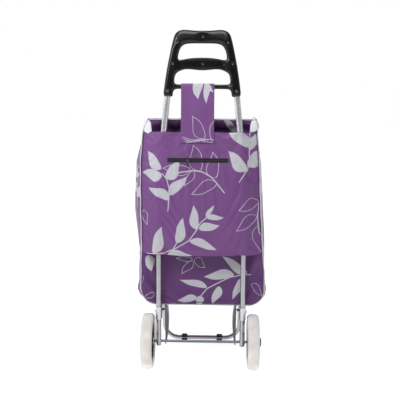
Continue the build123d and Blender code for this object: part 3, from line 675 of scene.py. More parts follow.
def build_bag():
    """The whole bag as one cloth: back (part 0), front (2), and the gusset down, under and up (1)."""
    index = {}
    points = []

    def add(key, point):
        if key not in index:
            index[key] = len(points)
            points.append(point)
        return index[key]

    edge = {}
    for side in (-1, 1):
        for row in range(ROWS):
            for j in range(DEPTH + 1):
                edge[side, row, j] = bag_edge(side, row, j / DEPTH)
    around = [("l", i) for i in range(ROWS)] + [("b", k) for k in range(1, ACROSS)]
    around += [("r", i) for i in range(ROWS - 1, -1, -1)]

    def around_point(step, j):
        kind, number = step
        if kind == "l":
            return edge[-1, number, j]
        if kind == "r":
            return edge[1, number, j]
        share = number / ACROSS
        low = edge[-1, ROWS - 1, j] * (1 - share) + edge[1, ROWS - 1, j] * share
        return low - np.array([0, 0, BOTTOM_SAG * math.sin(math.pi * share)])

    def face_key(plane, row, column):
        j = 0 if plane == "back" else DEPTH
        if column == 0:
            return ("l", row, j)
        if column == ACROSS:
            return ("r", row, j)
        if row == ROWS - 1:
            return ("b", column, j)
        return (plane, row, column)

    for step in around:
        for j in range(DEPTH + 1):
            add((*step, j), around_point(step, j))
    faces, uvs, parts = [], [], []
    lengths = run_length(np.array([around_point(step, 0) for step in around]))
    for n in range(len(around) - 1):
        drop = lengths if n < len(around) / 2 else lengths[-1] - lengths
        s0, s1 = MOUTH_PRINT - drop[n] * MM, MOUTH_PRINT - drop[n + 1] * MM
        for j in range(DEPTH):
            a, b = around[n], around[n + 1]
            faces.append([index[(*a, j)], index[(*a, j + 1)], index[(*b, j + 1)], index[(*b, j)]])
            y0, y1 = (GUSSET * j / DEPTH - GUSSET / 2) * MM, (GUSSET * (j + 1) / DEPTH - GUSSET / 2) * MM
            uvs += [(y0, s0), (y1, s0), (y1, s1), (y0, s1)]
            parts.append(1)
    for plane, j in (("back", 0), ("front", DEPTH)):
        for row in range(ROWS - 1):
            left, right = edge[-1, row, j], edge[1, row, j]
            for column in range(1, ACROSS):
                share = column / ACROSS
                full = math.sin(math.pi * share) * math.sin(math.pi * row / (ROWS - 1))
                push = back_cave(left[2], share) if plane == "back" else FRONT_CROWN * full**0.7
                add((plane, row, column), left * (1 - share) + right * share + np.array([0, push, 0]))
        for row in range(ROWS - 1):
            for column in range(ACROSS):
                corners = [(row, column), (row, column + 1), (row + 1, column + 1), (row + 1, column)]
                if plane == "back":
                    corners = corners[::-1]
                ids = [index[face_key(plane, *c)] for c in corners]
                if len(set(ids)) < 4:
                    continue
                faces.append(ids)
                mirror = 1 if plane == "back" else -1
                uvs += [(mirror * points[i][0] * MM, points[i][2] * MM) for i in ids]
                parts.append(0 if plane == "back" else 2)
    return np.array(points), np.array(faces), np.array(uvs).reshape(-1, 4, 2), np.array(parts), index


points, faces, uvs, parts, index = build_bag()
held = np.zeros(len(points))
for (kind, *rest), i in index.items():
    if kind in ("l", "r", "b"):
        row, j = rest
        if j in (0, DEPTH):
            held[i] = 1.0
        elif kind == "b":
            held[i] = 0.6
        elif row <= 1 or row >= STRAIGHT_ROWS + 6:
            held[i] = 0.85
    elif rest[0] <= 1:
        held[i] = 1.0
    elif kind == "back" and rest[0] < FOLD_ROW:
        held[i] = 0.3
settled = settle(place(points), faces, held, 26, grow=0.022, pressure=0.3, bend=0.3, cap=8.0)

bag = {}
# The back panel takes the darker cloth, whose colour paints its shade.
for name, chosen, cloth, levels in (
    ("bag_back", parts == 0, SHADED_BACK_CLOTH, 2),
    ("bag_body", parts > 0, PRINTED, 1),
):
    used, corners = np.unique(faces[chosen], return_inverse=True)
    whole = make("whole", settled[used], corners.reshape(-1, 4), uvs[chosen].reshape(-1, 2), cloth)
    thicken(whole, BAG_CLOTH, levels, LINING)
    bag[name, "upper"] = subset(whole, f"{name}_upper", lambda c: c.z > FOLD_Z * MM)
    bag[name, "lower"] = subset(whole, f"{name}_lower", lambda c: c.z <= FOLD_Z * MM)
    bpy.data.objects.remove(whole)
for (name, _), piece in bag.items():
    if name == "bag_back":
        ink_on(piece, LOWER_LEAVES, LOWER_OUTLINES, LOWER_STEMS, HATCHED_LEAVES)
    else:
        ink_on(piece, ALL_LEAVES, ALL_OUTLINES, ALL_STEMS, HATCHED_LEAVES)


# ------------------------------------------------------------------ the rear sleeve

SLEEVE_COLUMNS = 76
SLEEVE_ROWS = 76
SLEEVE_INSET = 3.0  # from the bag's seams
HOLD = 4  # how far round the zip and the strap the cloth is held


def wrap(side, x_seam, x_tube, radius):
    """The cloth's line from a seam to where it leaves the upright, seen from above."""
    ax, ay = side * x_seam, BAG_BACK - 1.2
    cx = side * x_tube
    reach = math.hypot(ax - cx, ay)
    start = math.atan2(ay, ax - cx)
    turn = math.acos(radius / reach)
    contact = start - side * turn if side > 0 else start + turn
    if contact > 0 and side < 0:
        contact -= math.tau
    rest = -math.pi / 2
    if side < 0 and contact > rest:
        contact -= math.tau
    angles = np.linspace(contact, rest, 7)
    return [(ax, ay)] + [(cx + radius * math.cos(a), radius * math.sin(a)) for a in angles]


def sleeve_line(z):
    """The sleeve's line at a height, seen from above, and its length."""
    tube = upright_x(z)
    left = wrap(-1, np.interp(z, SEAM_HEIGHTS, LEFT_SEAM) - SLEEVE_INSET, tube, -SLEEVE_Y)
    right = wrap(1, np.interp(z, SEAM_HEIGHTS, RIGHT_SEAM) - SLEEVE_INSET, tube, -SLEEVE_Y)
    line = np.array(left + right[::-1])
    length = run_length(line)
    return points_at(np.linspace(0, length[-1], SLEEVE_COLUMNS), length, line), length[-1]


rows = np.linspace(SLEEVE_TOP, SLEEVE_BOTTOM, SLEEVE_ROWS)
points, held = [], []
for z in rows:
    line, width = sleeve_line(z)
    for k, (x, y) in enumerate(line):
        points.append((x, y, z))
        on_tube = abs(abs(x) - upright_x(z)) < 6
        on_zip = TAPE_LOW.x / MM - HOLD < x < TAPE_HIGH.x / MM + HOLD
        on_zip = on_zip and TAPE_LOW.z / MM - HOLD < z < TAPE_HIGH.z / MM + HOLD
        on_strap = STRAP_LOW.x / MM < x < STRAP_HIGH.x / MM and z > STRAP_LOW.z / MM - HOLD
        fixed = k in (0, SLEEVE_COLUMNS - 1) or on_tube or on_zip or on_strap
        held.append(1.0 if fixed else 0.0)
points = np.array(points)
faces = grid_faces(SLEEVE_ROWS, SLEEVE_COLUMNS)[:, ::-1]
sleeve_uvs = (points[faces][:, :, [0, 2]] * MM).reshape(-1, 2)
settled = settle(place(points), faces, np.array(held), 26, grow=0.022, pressure=0.1, bend=0.3, cap=4.0)
sleeve = make("rear_sleeve", settled, faces, sleeve_uvs, PRINTED)
thicken(sleeve, 1.2, 2, LINING)
ink_on(sleeve, SLEEVE_LEAVES, SLEEVE_OUTLINES, SLEEVE_STEMS)
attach(sleeve, "frame")
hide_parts("sleeve_panel", "pocket_lining")

# ------------------------------------------------------------------ the strap

STRAP_ACROSS = 40
STRAP_ALONG = 130
STRAP_THICKNESS = 1.6
FRONT_RIPPLE = 0.4  # the front run lies flatter, clear of the opened lid
strap_rear = (STRAP_LOW.y - UPRIGHT_Y) / MM + STRAP_THICKNESS / 2
strap_path = [
    (strap_rear, STRAP_LOW.z / MM),
    (strap_rear + 0.2, SLEEVE_TOP - 10),
    (strap_rear + 0.4, SLEEVE_TOP + 8),
    (-11.4, 740),
    (-10.4, 790),
    (-10.0, 806),
    (-9.0, 811.0),
    (-5.0, 812.9),
    (5.0, 812.9),
    (9.0, 811.0),
    (10.0, 806),
    (9.4, 780),
    (6.6, 745),
    (5.8, 712),
    (6.2, BAG_TOP - 30),
]
strap_path = np.array(strap_path)
length = run_length(strap_path)
at = np.linspace(0, length[-1], STRAP_ALONG)
strap_line = points_at(at, length, strap_path)
points = []
for k, (y, z) in enumerate(strap_line):
    for share in np.linspace(0, 1, STRAP_ACROSS):
        x = (STRAP_LOW.x + (STRAP_HIGH.x - STRAP_LOW.x) * share) / MM
        free = np.interp(z, (690, 720, 780, 800), (0, 1, 1, 0))
        sign = -1 if at[k] < length[-1] / 2 else FRONT_RIPPLE
        ripple = math.sin(share * 9.0 + z * 0.021) * 0.7 + math.sin(share * 4.0 - z * 0.035) * 0.6
        points.append((x, y + sign * free * (ripple + 0.9 * math.sin(math.pi * share)), z))
points = np.array(points)
faces = grid_faces(STRAP_ALONG, STRAP_ACROSS)
flat = np.stack([points[:, 0], np.repeat(STRAP_LOW.z / MM + at, STRAP_ACROSS)], 1)
strap_uvs = (flat[faces] * MM).reshape(-1, 2)
strap = make("handle_strap_cloth", place(points), faces, strap_uvs, STRAP_CLOTH)
thicken(strap, STRAP_THICKNESS, 1)
ink_on(strap, STRAP_LEAVES, STRAP_OUTLINES, STRAP_STEMS, (), LINE_HALF_WIDTH)
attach(strap, "frame")
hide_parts("handle_strap", "strap_tape")

# ------------------------------------------------------------------ stitching


def stitches(name, path, length=2.6, gap=1.0, radius=0.28):
    """A row of thread stitches along points in metres, each a short four-sided prism."""
    path = np.asarray(path)
    along = run_length(path)
    starts = np.arange(0, along[-1] - length * MM, (length + gap) * MM)
    points, faces = [], []
    for begin in starts:
        ends = [points_at(at, along, path) for at in (begin, begin + length * MM)]
        heading = (ends[1] - ends[0]) / np.linalg.norm(ends[1] - ends[0])
        up = np.cross(heading, (0, 1, 0))
        first = len(points)
        for end in ends:
            points += [end + up * radius * MM, end - np.array([0, radius * MM, 0])]
            points += [end - up * radius * MM, end + np.array([0, radius * MM, 0])]
        faces += [tuple(quad) for quad in grid_faces(2, 4, True) + first]
        faces += [(first + 3, first + 2, first + 1, first), (first + 4, first + 5, first + 6, first + 7)]
    uvs = [(0.0, 0.0)] * sum(len(f) for f in faces)
    piece = make(name, points, faces, uvs, STITCH)
    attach(piece, "frame")
    return piece


def on_sleeve(x, z):
    """The outer face of the settled sleeve at a place in millimetres, in metres."""
    last = SLEEVE_ROWS - 1
    row = np.clip((SLEEVE_TOP - z) / (SLEEVE_TOP - SLEEVE_BOTTOM) * last, 0, last)
    above = sleeve_grid[int(row)]
    below = sleeve_grid[min(int(row) + 1, last)]
    line = above + (below - above) * (row - int(row))
    y = np.interp(x * MM, line[:, 0], line[:, 1])
    return (x * MM, y - 0.0008, np.interp(x * MM, line[:, 0], line[:, 2]))


sleeve_grid = settled.reshape(SLEEVE_ROWS, SLEEVE_COLUMNS, 3)
STITCH_LIFT = 0.9  # off the strap's middle surface
SEAM_DROP = 7  # from the sleeve's top and bottom edges
TOP_SEAM_X = range(-150, 150, 3)
HEM_SEAM_X = range(-158, 164, 3)
top_seam = stitches("sleeve_top_seam", [on_sleeve(x, SLEEVE_TOP - SEAM_DROP) for x in TOP_SEAM_X])
low_seam = stitches("sleeve_hem_seam", [on_sleeve(x, SLEEVE_BOTTOM + SEAM_DROP) for x in HEM_SEAM_X])
left, right = STRAP_LOW.x + 0.004, STRAP_HIGH.x - 0.004
low, high = STRAP_LOW.z + 0.004, STRAP_LOW.z + 0.024
face = UPRIGHT_Y + (strap_rear - STITCH_LIFT) * MM
box_corners = [(left, low), (right, low), (right, high), (left, high), (left, low)]
strap_seam = stitches("strap_end_seam", [(x, face, z) for x, z in box_corners])
strap_grid = place(points).reshape(-1, STRAP_ACROSS, 3)
STRAP_TURN = 0.803  # the height in metres where the strap turns over the cross bar
rising = [row for row in strap_grid[: len(strap_grid) // 2] if high + 0.003 < row[0][2] < STRAP_TURN]
for name, column in (("left", 2), ("right", STRAP_ACROSS - 3)):
    rise = [row[column] - np.array([0, STITCH_LIFT * MM, 0]) for row in rising]
    stitches(f"strap_{name}_seam", rise)

# ------------------------------------------------------------------ piping and the board

PIPING_RADIUS = 1.6
piping = {}
for place_name, j in (("rear", 0), ("front", DEPTH)):
    line = [bag_edge(-1, row, j / DEPTH) for row in range(ROWS)]
    low_left, low_right = line[-1], bag_edge(1, ROWS - 1, j / DEPTH)
    line += [low_left + (low_right - low_left) * k / 30 for k in range(1, 30)]
    line += [bag_edge(1, row, j / DEPTH) for row in range(ROWS - 1, -1, -1)]
    line = np.array(line)
    up = np.clip((line[:, 2] - BAG_BOTTOM) / CORNER, 0, 1)
    line[:, 0] += np.sign(line[:, 0]) * up * PIPING_RADIUS
    line[:, 2] -= np.clip((BAG_BOTTOM + CORNER - line[:, 2]) / CORNER, 0, 1) * PIPING_RADIUS
    line[:, 1] += -2.4 if j == 0 else 1.0
    steps = np.arange(len(line))
    line[:, 0] += 0.5 * np.sin(steps * 0.55) + 0.35 * np.sin(steps * 0.23 + 1.0)
    upper = line[:, 2] >= FOLD_Z - 0.01
    lower = np.nonzero(line[:, 2] <= FOLD_Z + 0.01)[0]
    split = len(line) // 2
    left_upper = np.nonzero(upper[:split])[0]
    right_upper = np.nonzero(upper[split:])[0] + split
    for name, chosen in (("upper_left", left_upper), ("upper_right", right_upper), ("lower", lower)):
        piece = tube_along(f"piping_{place_name}_{name}", line[chosen], PIPING_RADIUS, PIPING)
        piping[place_name, name] = piece

board_low, board_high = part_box("base_board")
cx, cy = (board_low.x + board_high.x) / 2, (board_low.y + board_high.y) / 2
wx, wy = (board_high.x - board_low.x) / 2, (board_high.y - board_low.y) / 2
BOARD_SIDES = 72
ROUNDING = 0.22
outline = []
for k in range(BOARD_SIDES):
    ca, sa = math.cos(math.tau * k / BOARD_SIDES), math.sin(math.tau * k / BOARD_SIDES)
    x = cx + wx * math.copysign(abs(ca) ** ROUNDING, ca)
    outline.append((x, cy + wy * math.copysign(abs(sa) ** ROUNDING, sa)))
points = [(x, y, z) for z in (board_low.z, board_high.z) for x, y in outline]
faces = [tuple(range(BOARD_SIDES))[::-1], tuple(range(BOARD_SIDES, 2 * BOARD_SIDES))]
faces += [tuple(quad) for quad in grid_faces(2, BOARD_SIDES, True)]
board = make("stiffening_board", points, faces, None, BOARD)
shade(board.data, False)

# ------------------------------------------------------------------ the lid

LID_ACROSS = 60
TOP_ROWS = 38
FLAP_ROWS = 24
FLAP_CORNER = 30.0
LID_CROWN = 5.0
LID_PRINT = 700  # the height on the print where the lid's rear edge lies
hinge_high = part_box("lid_panel")[1]
flap_low, flap_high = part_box("lid_flap")
lid_rear = BAG_BACK + 1
lid_front = (flap_high.y - UPRIGHT_Y) / MM - 0.6
flap_bottom = flap_low.z / MM
top_rear = hinge_high.z / MM - 1.0
top_front = flap_high.z / MM
flap_top = top_front - 2.5
profile = []
for k in range(TOP_ROWS):
    y = lid_rear + (lid_front - lid_rear) * k / TOP_ROWS
    profile.append((y, top_rear + (top_front + 0.6 - top_rear) * k / TOP_ROWS))
profile += [(lid_front - 1.2, top_front + 0.4), (lid_front, flap_top)]
for k in range(1, FLAP_ROWS + 1):
    profile.append((lid_front, flap_top + (flap_bottom + 0.6 - flap_top) * k / FLAP_ROWS))
points, held = [], []
for k, (y, z) in enumerate(profile):
    crown = 0.0
    if k < TOP_ROWS:
        reach = np.interp(k, (0, 33, TOP_ROWS), (150, 166, 168))
        crown = LID_CROWN * math.sin(math.pi * k / TOP_ROWS)
    else:
        drop = max(0.0, FLAP_CORNER - (z - flap_bottom))
        cut_back = FLAP_CORNER - math.sqrt(max(0.0, FLAP_CORNER**2 - drop * drop))
        reach = np.interp(z, (flap_bottom, top_front), (158, 168)) - cut_back
    for c in range(LID_ACROSS + 1):
        share = c / LID_ACROSS
        points.append((reach * (2 * share - 1), y, z + crown * math.sin(math.pi * share) ** 0.8))
        rim = c in (0, LID_ACROSS) or k in (0, 1, TOP_ROWS + 1, TOP_ROWS + 2, len(profile) - 1)
        held.append(0.95 if rim else (0.12 if k > TOP_ROWS + 2 else 0.0))
points = np.array(points)
faces = grid_faces(len(profile), LID_ACROSS + 1)
length = run_length(np.array(profile))
flat = np.stack([-points[:, 0], LID_PRINT - np.repeat(length, LID_ACROSS + 1)], 1)
settled = settle(place(points), faces, np.array(held), 22, grow=0.01, pressure=0.3, bend=0.5, cap=5.0)
lid = make("lid_cloth", settled, faces, (flat[faces] * MM).reshape(-1, 2), PRINTED)
thicken(lid, 1.4, 1, LINING)
ink_on(lid, ALL_LEAVES, ALL_OUTLINES, ALL_STEMS)
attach(lid, "lid")
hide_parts("lid_panel", "lid_flap")
lid_grid = points.reshape(len(profile), LID_ACROSS + 1, 3)
lid_edge = np.concatenate([lid_grid[:, 0], lid_grid[-1, ::2], lid_grid[::-1, -1]])
lid_binding = tube_along("lid_binding", lid_edge, 1.5, PIPING)
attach(lid_binding, "lid")

# ------------------------------------------------------------------ the turned-out top corners

EAR_ROWS = 18
EAR_ACROSS = 22


def ear(name, side):
    """A corner of the bag's mouth, turned out so that its pale side shows."""
    peak = np.array([side * (149 if side < 0 else 142), 15.0, 725.0])
    foot = [(139, 6.5, 676), (146, 6.0, 675), (154, 6.5, 678), (161, 9.0, 683)]
    foot += [(166, 18.0, 688), (166, 34.0, 694)]
    inwards, raised = (0, 0) if side < 0 else (7, 6)
    foot = np.array([(side * (x - inwards), y, z + raised) for x, y, z in foot])
    low = points_at(np.linspace(0, len(foot) - 1, EAR_ACROSS), range(len(foot)), foot)
    points = []
    for t in np.linspace(0, 1, EAR_ROWS):
        for k, p in enumerate(low):
            s = k / (len(low) - 1)
            q = p * (1 - t) + peak * t
            swell = math.sin(math.pi * t) * (0.4 + 0.6 * math.sin(math.pi * s))
            spread = 6.0 * (1 - t) ** 0.5 * t * 2
            q = q + np.array([side * swell * 3.0 * (s - 0.2), -2.5 * swell, 2.0 * swell])
            q[0] += side * (s - 0.45) * spread
            points.append(q)
    faces = grid_faces(EAR_ROWS, EAR_ACROSS)
    points = np.array(points)
    flat = np.stack([points[:, 0] + points[:, 1], points[:, 2]], 1) * MM
    outward = faces if side < 0 else faces[:, ::-1]
    piece = make(name, place(points), outward, flat[faces].reshape(-1, 2), EAR_CLOTH)
    thicken(piece, 1.0, 1)
    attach(piece, "frame")
    return piece


ears = [ear("mouth_corner_left", -1), ear("mouth_corner_right", 1)]
mouth = np.array([(x, BAG_BACK - 0.6, BAG_TOP - 0.4) for x in np.linspace(-147, 145, 60)])
mouth_binding = tube_along("mouth_binding", mouth, 1.3, PIPING)
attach(mouth_binding, "frame")

# ------------------------------------------------------------------ how the bag's pieces move

for piece in list(bag.values()) + list(piping.values()) + [board]:
    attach(piece, "frame")
gathering = [bag["bag_back", "lower"], bag["bag_body", "lower"]]
gathering += [piping["rear", "lower"], piping["front", "lower"], board]
for piece in gathering:
    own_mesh(piece)
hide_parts("bag_back_panel")
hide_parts("bag_front_panel", "bag_side_left", "bag_side_right")
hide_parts("bag_bottom")
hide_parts("piping_rear")
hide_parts("piping_front")
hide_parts("base_board")
# ------------------------------------------------------------------ the foam tyres

TYRE_BORE = 0.0583  # radius in metres, like the next two measures
TREAD_START = 0.066
LUMP_DEPTH = 0.00028
TYRE_SIDES = 40
TYRE_TURNS = 180
SQUARENESS = 0.72


def foam_tyre(side):
    """A tyre with a rounded square section and slightly lumpy, worn foam."""
    low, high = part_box(f"tyre_{side}")
    centre, outer, half = (low + high) / 2, (high.z - low.z) / 2, (high.x - low.x) / 2
    profile = []
    for k in range(TYRE_SIDES):
        a = math.tau * k / TYRE_SIDES
        ca, sa = math.cos(a), math.sin(a)
        x = half * math.copysign(abs(sa) ** SQUARENESS, sa)
        high_low = math.copysign(abs(ca) ** SQUARENESS, ca)
        r = (outer + TYRE_BORE) / 2 + (outer - TYRE_BORE) / 2 * high_low
        profile.append((x, r))
    points = []
    for i in range(TYRE_TURNS):
        turn = math.tau * i / TYRE_TURNS
        for x, r in profile:
            crown = max(0.0, (r - TREAD_START) / (outer - TREAD_START))
            lump = math.sin(7 * turn + 3 * x * 900) * math.sin(13 * turn + 1.3)
            lump += math.sin(29 * turn + x * 700) + 0.6 * math.sin(47 * turn - x * 1100 + 0.7)
            out = r - crown * LUMP_DEPTH * (lump + 1.6)
            points.append((centre.x + x, centre.y + out * math.cos(turn), centre.z + out * math.sin(turn)))
    faces = grid_faces(TYRE_TURNS + 1, TYRE_SIDES, True) % (TYRE_TURNS * TYRE_SIDES)
    piece = make(f"foam_tyre_{side}", points, faces, None, FOAM)
    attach(piece, f"wheel_{side}")
    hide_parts(f"tyre_{side}")


for side in ("left", "right"):
    foam_tyre(side)

# ------------------------------------------------------------------ the moulded handle


def rounded(points, rounds=3):
    """Cuts the corners of a closed line again and again, so that it becomes a smooth curve."""
    points = np.array(points, float)
    for _ in range(rounds):
        after = np.roll(points, -1, axis=0)
        cuts = [points * 0.75 + after * 0.25, points * 0.25 + after * 0.75]
        points = np.stack(cuts, 1).reshape(-1, 2)
    return points


def mirrored(half):
    """A closed line from its right half. Points on the centre plane aren't repeated."""
    return list(half) + [(-x, z) for x, z in half[::-1] if x > 0]


def inside_distance(x, z, line):
    """The distance to a closed line, positive inside it."""
    best = np.full(x.shape, FAR)
    inside = np.zeros(x.shape, bool)
    for (x0, z0), (x1, z1) in zip(line, np.roll(line, -1, axis=0)):
        dx, dz = x1 - x0, z1 - z0
        t = np.clip(((x - x0) * dx + (z - z0) * dz) / max(dx * dx + dz * dz, 1e-9), 0, 1)
        best = np.minimum(best, np.hypot(x - x0 - t * dx, z - z0 - t * dz))
        if dz != 0:
            inside ^= ((z0 > z) != (z1 > z)) & (x < x0 + (z - z0) * dx / dz)
    return np.where(inside, best, -best)


def surface_net(field, origin, step):
    """A smooth quad mesh of where a sampled field crosses zero; the inside is negative."""
    cells = np.array(field.shape) - 1
    total = np.zeros((*cells, 3))
    count = np.zeros(cells)
    for axis in range(3):
        others = [k for k in range(3) if k != axis]
        for first in (0, 1):
            for second in (0, 1):
                start = [0, 0, 0]
                start[others[0]], start[others[1]] = first, second
                near = field[tuple(slice(start[k], start[k] + cells[k]) for k in range(3))]
                start[axis] = 1
                far = field[tuple(slice(start[k], start[k] + cells[k]) for k in range(3))]
                crossing = (near < 0) != (far < 0)
                share = np.where(crossing, near / np.where(crossing, near - far, 1.0), 0.0)
                count += crossing
                total[..., axis] += share
                total[..., others[0]] += crossing * first
                total[..., others[1]] += crossing * second
    active = count > 0
    number = np.full(cells, -1)
    number[active] = np.arange(active.sum())
    points = np.argwhere(active) + total[active] / count[active][:, None]
    faces = []
    for axis in range(3):
        b, c = (axis + 1) % 3, (axis + 2) % 3
        low = [slice(1, n) for n in cells]
        low[axis] = slice(0, cells[axis])
        high = list(low)
        high[axis] = slice(1, cells[axis] + 1)
        near, far = field[tuple(low)], field[tuple(high)]
        for flipped in (False, True):
            crossing = (near < 0) & (far >= 0) if not flipped else (near >= 0) & (far < 0)
            spots = np.argwhere(crossing)
            spots[:, b] += 1
            spots[:, c] += 1
            ring = []
            for db, dc in ((0, 0), (-1, 0), (-1, -1), (0, -1)):
                shifted = spots.copy()
                shifted[:, b] += db
                shifted[:, c] += dc
                ring.append(number[tuple(shifted.T)])
            quad = np.stack(ring, 1)
            faces.append(quad[:, ::-1] if flipped else quad)
    return origin + points * step, np.concatenate(faces)


HANDLE_LOW, HANDLE_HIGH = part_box("handle_rear_shell")
TOP = HANDLE_HIGH.z / MM
HANDLE_STEP = 1.5
HALF_DEPTH = (UPRIGHT_Y - HANDLE_LOW.y) / MM
RIB_INSET = 10.5  # from the upright's middle
SOCKET_RADIUS = 9.2
SOCKET_DEPTH = 172  # below the top
SCREWS = [(0, TOP - 19), (68, TOP - 34), (-68, TOP - 34), (82, TOP - 91), (-82, TOP - 91), (0, TOP - 92)]
SCREWS += [(78, TOP - 147), (-78, TOP - 147)]
SCREW_RADIUS = 2.4
SCREW_GAP = 0.7
SCREW_SUNK = 1.4
BORE_DEPTH = 2.2
SCREW_SIDES = 24
# Each ring of a screw's head: its radius, and how far in it lies. The slot's four arms start at SLOT_RING.
SLOT_RING = 1.4
SCREW_RINGS = ((2.4, 2.2), (2.4, 0.3), (2.1, 0.0), (SLOT_RING, 0.0), (0.9, 0.7), (0.2, 1.1))
# The outline and the two windows, right halves only: how far out, and how far below the top.
outer_half = [(0, TOP - 3.8), (24, TOP - 3.0), (44, TOP - 0.8), (60, TOP - 1.2)]
outer_half += [(74, TOP - 9.5), (80.5, TOP - 28)]
outer_half += [(87, TOP - 58), (96, TOP - 102), (103, TOP - 146), (107.3, TOP - 181), (94, TOP - 181.4)]
outer_half += [(80.5, TOP - 181), (80, TOP - 168), (76, TOP - 160.5), (66, TOP - 159), (0, TOP - 159)]
lower_half = [(0, TOP - 147), (62, TOP - 147), (76, TOP - 146), (76.5, TOP - 134), (73, TOP - 118)]
lower_half += [(60, TOP - 110), (46, TOP - 106), (30, TOP - 106.5), (0, TOP - 110)]
upper_half = [(0, TOP - 74.5), (34, TOP - 76.5), (56, TOP - 81), (66, TOP - 81.5), (66.5, TOP - 72)]
upper_half += [(62, TOP - 54), (54, TOP - 42), (38, TOP - 37.4), (0, TOP - 37.4)]
xs = np.arange(-110, 110.1, HANDLE_STEP)
ys = np.arange(-HALF_DEPTH - 2.5, HALF_DEPTH + 2.6, HANDLE_STEP)
zs = np.arange(TOP - 184.5, TOP + 3, HANDLE_STEP)
gx, gz = np.meshgrid(xs, zs, indexing="ij")
solid_2d = inside_distance(gx, gz, rounded(mirrored(outer_half)))
for window in (lower_half, upper_half):
    solid_2d = np.minimum(solid_2d, -inside_distance(gx, gz, rounded(mirrored(window))))


def ramp(value, low, high):
    t = np.clip((value - low) / (high - low), 0, 1)
    return t * t * (3 - 2 * t)


in_grip = ramp(gz, TOP - 52, TOP - 36)
in_middle = ramp(-np.abs(gx), -74, -56) * ramp(gz, TOP - 112, TOP - 104) * ramp(-gz, -TOP + 66, -TOP + 78)
in_cross = ramp(-np.abs(gx), -80, -68) * ramp(-gz, -TOP + 140, -TOP + 146)
waist = np.exp(-((gx / 23.0) ** 2))
depth = np.full(gx.shape, HALF_DEPTH)
depth = depth * (1 - in_grip) + (HALF_DEPTH - 2.6 * waist) * in_grip
depth = depth * (1 - in_middle) + (HALF_DEPTH - 3.4) * in_middle
depth = depth * (1 - in_cross) + 8.6 * in_cross
depth = depth - 5.5 * in_grip * (1 - waist) * np.clip((gz - TOP + 32) / 30, 0, 1)
curve = 8.5 * (1 - in_grip) + (HALF_DEPTH - 0.5 - 8.0 * waist) * in_grip
curve = np.minimum(curve, depth - 0.5)
oval = 1 - 0.27 * in_grip  # the grip is an oval, taller than it is deep
curve = curve * (1 - in_middle) + 3.2 * in_middle
curve = curve * (1 - in_cross) + 4.2 * in_cross
panel_half = [(44, TOP - 81), (58, TOP - 86), (60, TOP - 98), (40, TOP - 101.5), (0, TOP - 104)]
panel = ramp(inside_distance(gx, gz, rounded(mirrored(panel_half), 2)), -0.6, 1.2)
depth = depth - 1.1 * panel
rib = np.exp(-(((np.abs(gx) - upright_x(gz) + RIB_INSET) / 2.0) ** 2))
rib = rib * ramp(-gz, -TOP + 40, -TOP + 60) * (1 - in_cross) * (1 - in_middle)
depth = depth + 0.9 * rib * ramp(solid_2d, 2.0, 6.0)
gy = ys[None, :, None]
q_side = (curve - solid_2d * oval)[:, None, :]
q_face = np.abs(gy) - depth[:, None, :] + curve[:, None, :]
field = np.minimum(np.maximum(q_side, q_face), 0)
field = field + np.hypot(np.maximum(q_side, 0), np.maximum(q_face, 0)) - curve[:, None, :]
screw_spots = []
for sx, sz in SCREWS:
    i, k = int(round((sx - xs[0]) / HANDLE_STEP)), int(round((sz - zs[0]) / HANDLE_STEP))
    fall = max(0.0, curve[i, k] - solid_2d[i, k] * oval[i, k]) ** 2 / (2 * curve[i, k])
    face_y = fall - depth[i, k]
    screw_spots.append((sx, face_y + SCREW_SUNK, sz))
    bore = np.hypot(gx - sx, gz - sz)[:, None, :] - SCREW_RADIUS - SCREW_GAP
    hole = np.maximum(bore, gy - (face_y + BORE_DEPTH))
    field = np.maximum(field, -hole)
socket = np.hypot((np.abs(gx) - upright_x(gz))[:, None, :], gy) - SOCKET_RADIUS
socket = np.maximum(socket, gz[:, None, :] - (TOP - SOCKET_DEPTH))
field = np.maximum(field, -socket)
points, faces = surface_net(field, np.array([xs[0], ys[0], zs[0]]), HANDLE_STEP)
handle = make("moulded_handle", place(points), faces, None, HANDLE_PLASTIC)
even = handle.modifiers.new("even", "SMOOTH")
even.factor = 0.5
even.iterations = 14
thicken(handle, 0, 0)
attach(handle, "frame")

points, faces = [], []
for sx, sy, sz in screw_spots:
    start = len(points)
    for radius, deep in SCREW_RINGS:
        for k in range(SCREW_SIDES):
            a = math.tau * k / SCREW_SIDES
            out = radius * (1 + (0.35 * math.cos(4 * a) if radius == SLOT_RING else 0))
            points.append((sx + out * math.cos(a), sy + deep, sz + out * math.sin(a)))
    faces += [tuple(quad) for quad in grid_faces(len(SCREW_RINGS), SCREW_SIDES, True) + start]
    faces.append(tuple(range(len(points) - SCREW_SIDES, len(points))))
    faces.append(tuple(range(start, start + SCREW_SIDES))[::-1])
screws = make("shell_screws", place(points), faces, None, SCREW_STEEL)
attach(screws, "frame")
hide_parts("handle_rear_shell", "handle_front_shell")
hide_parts("handle_screws")

# ------------------------------------------------------------------ studio

side, front, back = 14.0, -3.6, 14.0
corners = [(-side, front, 0), (side, front, 0), (side, back, 0), (-side, back, 0)]
floor = make("studio_floor", corners, [(0, 1, 2, 3)])
paper = Finish("studio_paper", Roughness=0.9, Emission_Strength=0.62, Emission_Color=(1, 1, 1, 1))
paper_cloud = paper.noise(paper.place(), 3.0)
paper.to("Base Color", paper.mix(paper_cloud, (0.90, 0.90, 0.90), (0.93, 0.93, 0.93)))
floor.data.materials.append(paper.material)
floor.location.z = -0.0004

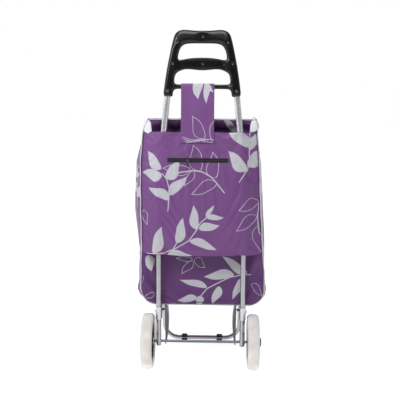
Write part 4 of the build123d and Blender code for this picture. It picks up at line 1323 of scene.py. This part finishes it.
world = bpy.data.worlds.new("studio")
scene.world = world
world.use_nodes = True
background = world.node_tree.nodes["Background"]
background.inputs["Color"].default_value = (1, 1, 1, 1)
sky = world.node_tree.nodes
join = world.node_tree.links.new
heading = sky.new("ShaderNodeTexCoord")
split = sky.new("ShaderNodeSeparateXYZ")
fade = sky.new("ShaderNodeMapRange")
for name, value in (("From Min", -0.3), ("From Max", 0.75), ("To Min", 0.16), ("To Max", 1.0)):
    fade.inputs[name].default_value = value
join(heading.outputs["Generated"], split.inputs[0])
join(split.outputs["Y"], fade.inputs["Value"])
rays = sky.new("ShaderNodeLightPath")
backdrop = sky.new("ShaderNodeMath")  # the backdrop itself is plain white from every side
backdrop.operation = "MAXIMUM"
join(fade.outputs[0], backdrop.inputs[0])
join(rays.outputs["Is Camera Ray"], backdrop.inputs[1])
join(backdrop.outputs[0], background.inputs["Strength"])


def lamp(name, spot, size, watts, aim=(0, 0, 0.5)):
    data = bpy.data.lights.new(name, "AREA")
    data.color = (0.96, 0.98, 1.0)
    data.shape = "RECTANGLE"
    data.size, data.size_y = size
    data.energy = watts
    made = bpy.data.objects.new(name, data)
    scene.collection.objects.link(made)
    made.location = spot
    made.rotation_euler = (Vector(aim) - Vector(spot)).to_track_quat("-Z", "Y").to_euler()
    return made


lamp("key", (-0.75, -0.75, 1.2), (0.45, 0.45), 8)
lamp("side", (-2.3, -0.5, 0.9), (0.5, 1.9), 5)
lamp("top", (-0.05, -0.85, 1.95), (1.1, 0.7), 20, (0, 0, 0.9))
lamp("fill", (2.4, -1.6, 1.2), (0.7, 1.6), 2)

camera_data = bpy.data.cameras.new("camera")
camera = bpy.data.objects.new("camera", camera_data)
scene.collection.objects.link(camera)
camera_data.sensor_width = 36.0
camera_data.lens = 62.3
EYE = Vector(place((41.8, -1917.2, 770.5)))
TARGET = Vector(place((-3.9, 0.0, 492.0)))
ROLL = math.radians(0.4)
camera.location = EYE
camera.rotation_mode = "QUATERNION"
aim = (TARGET - EYE).to_track_quat("-Z", "Y")
camera.rotation_quaternion = aim @ Quaternion((0, 0, 1), ROLL)
scene.camera = camera
scene.view_settings.view_transform = "Standard"
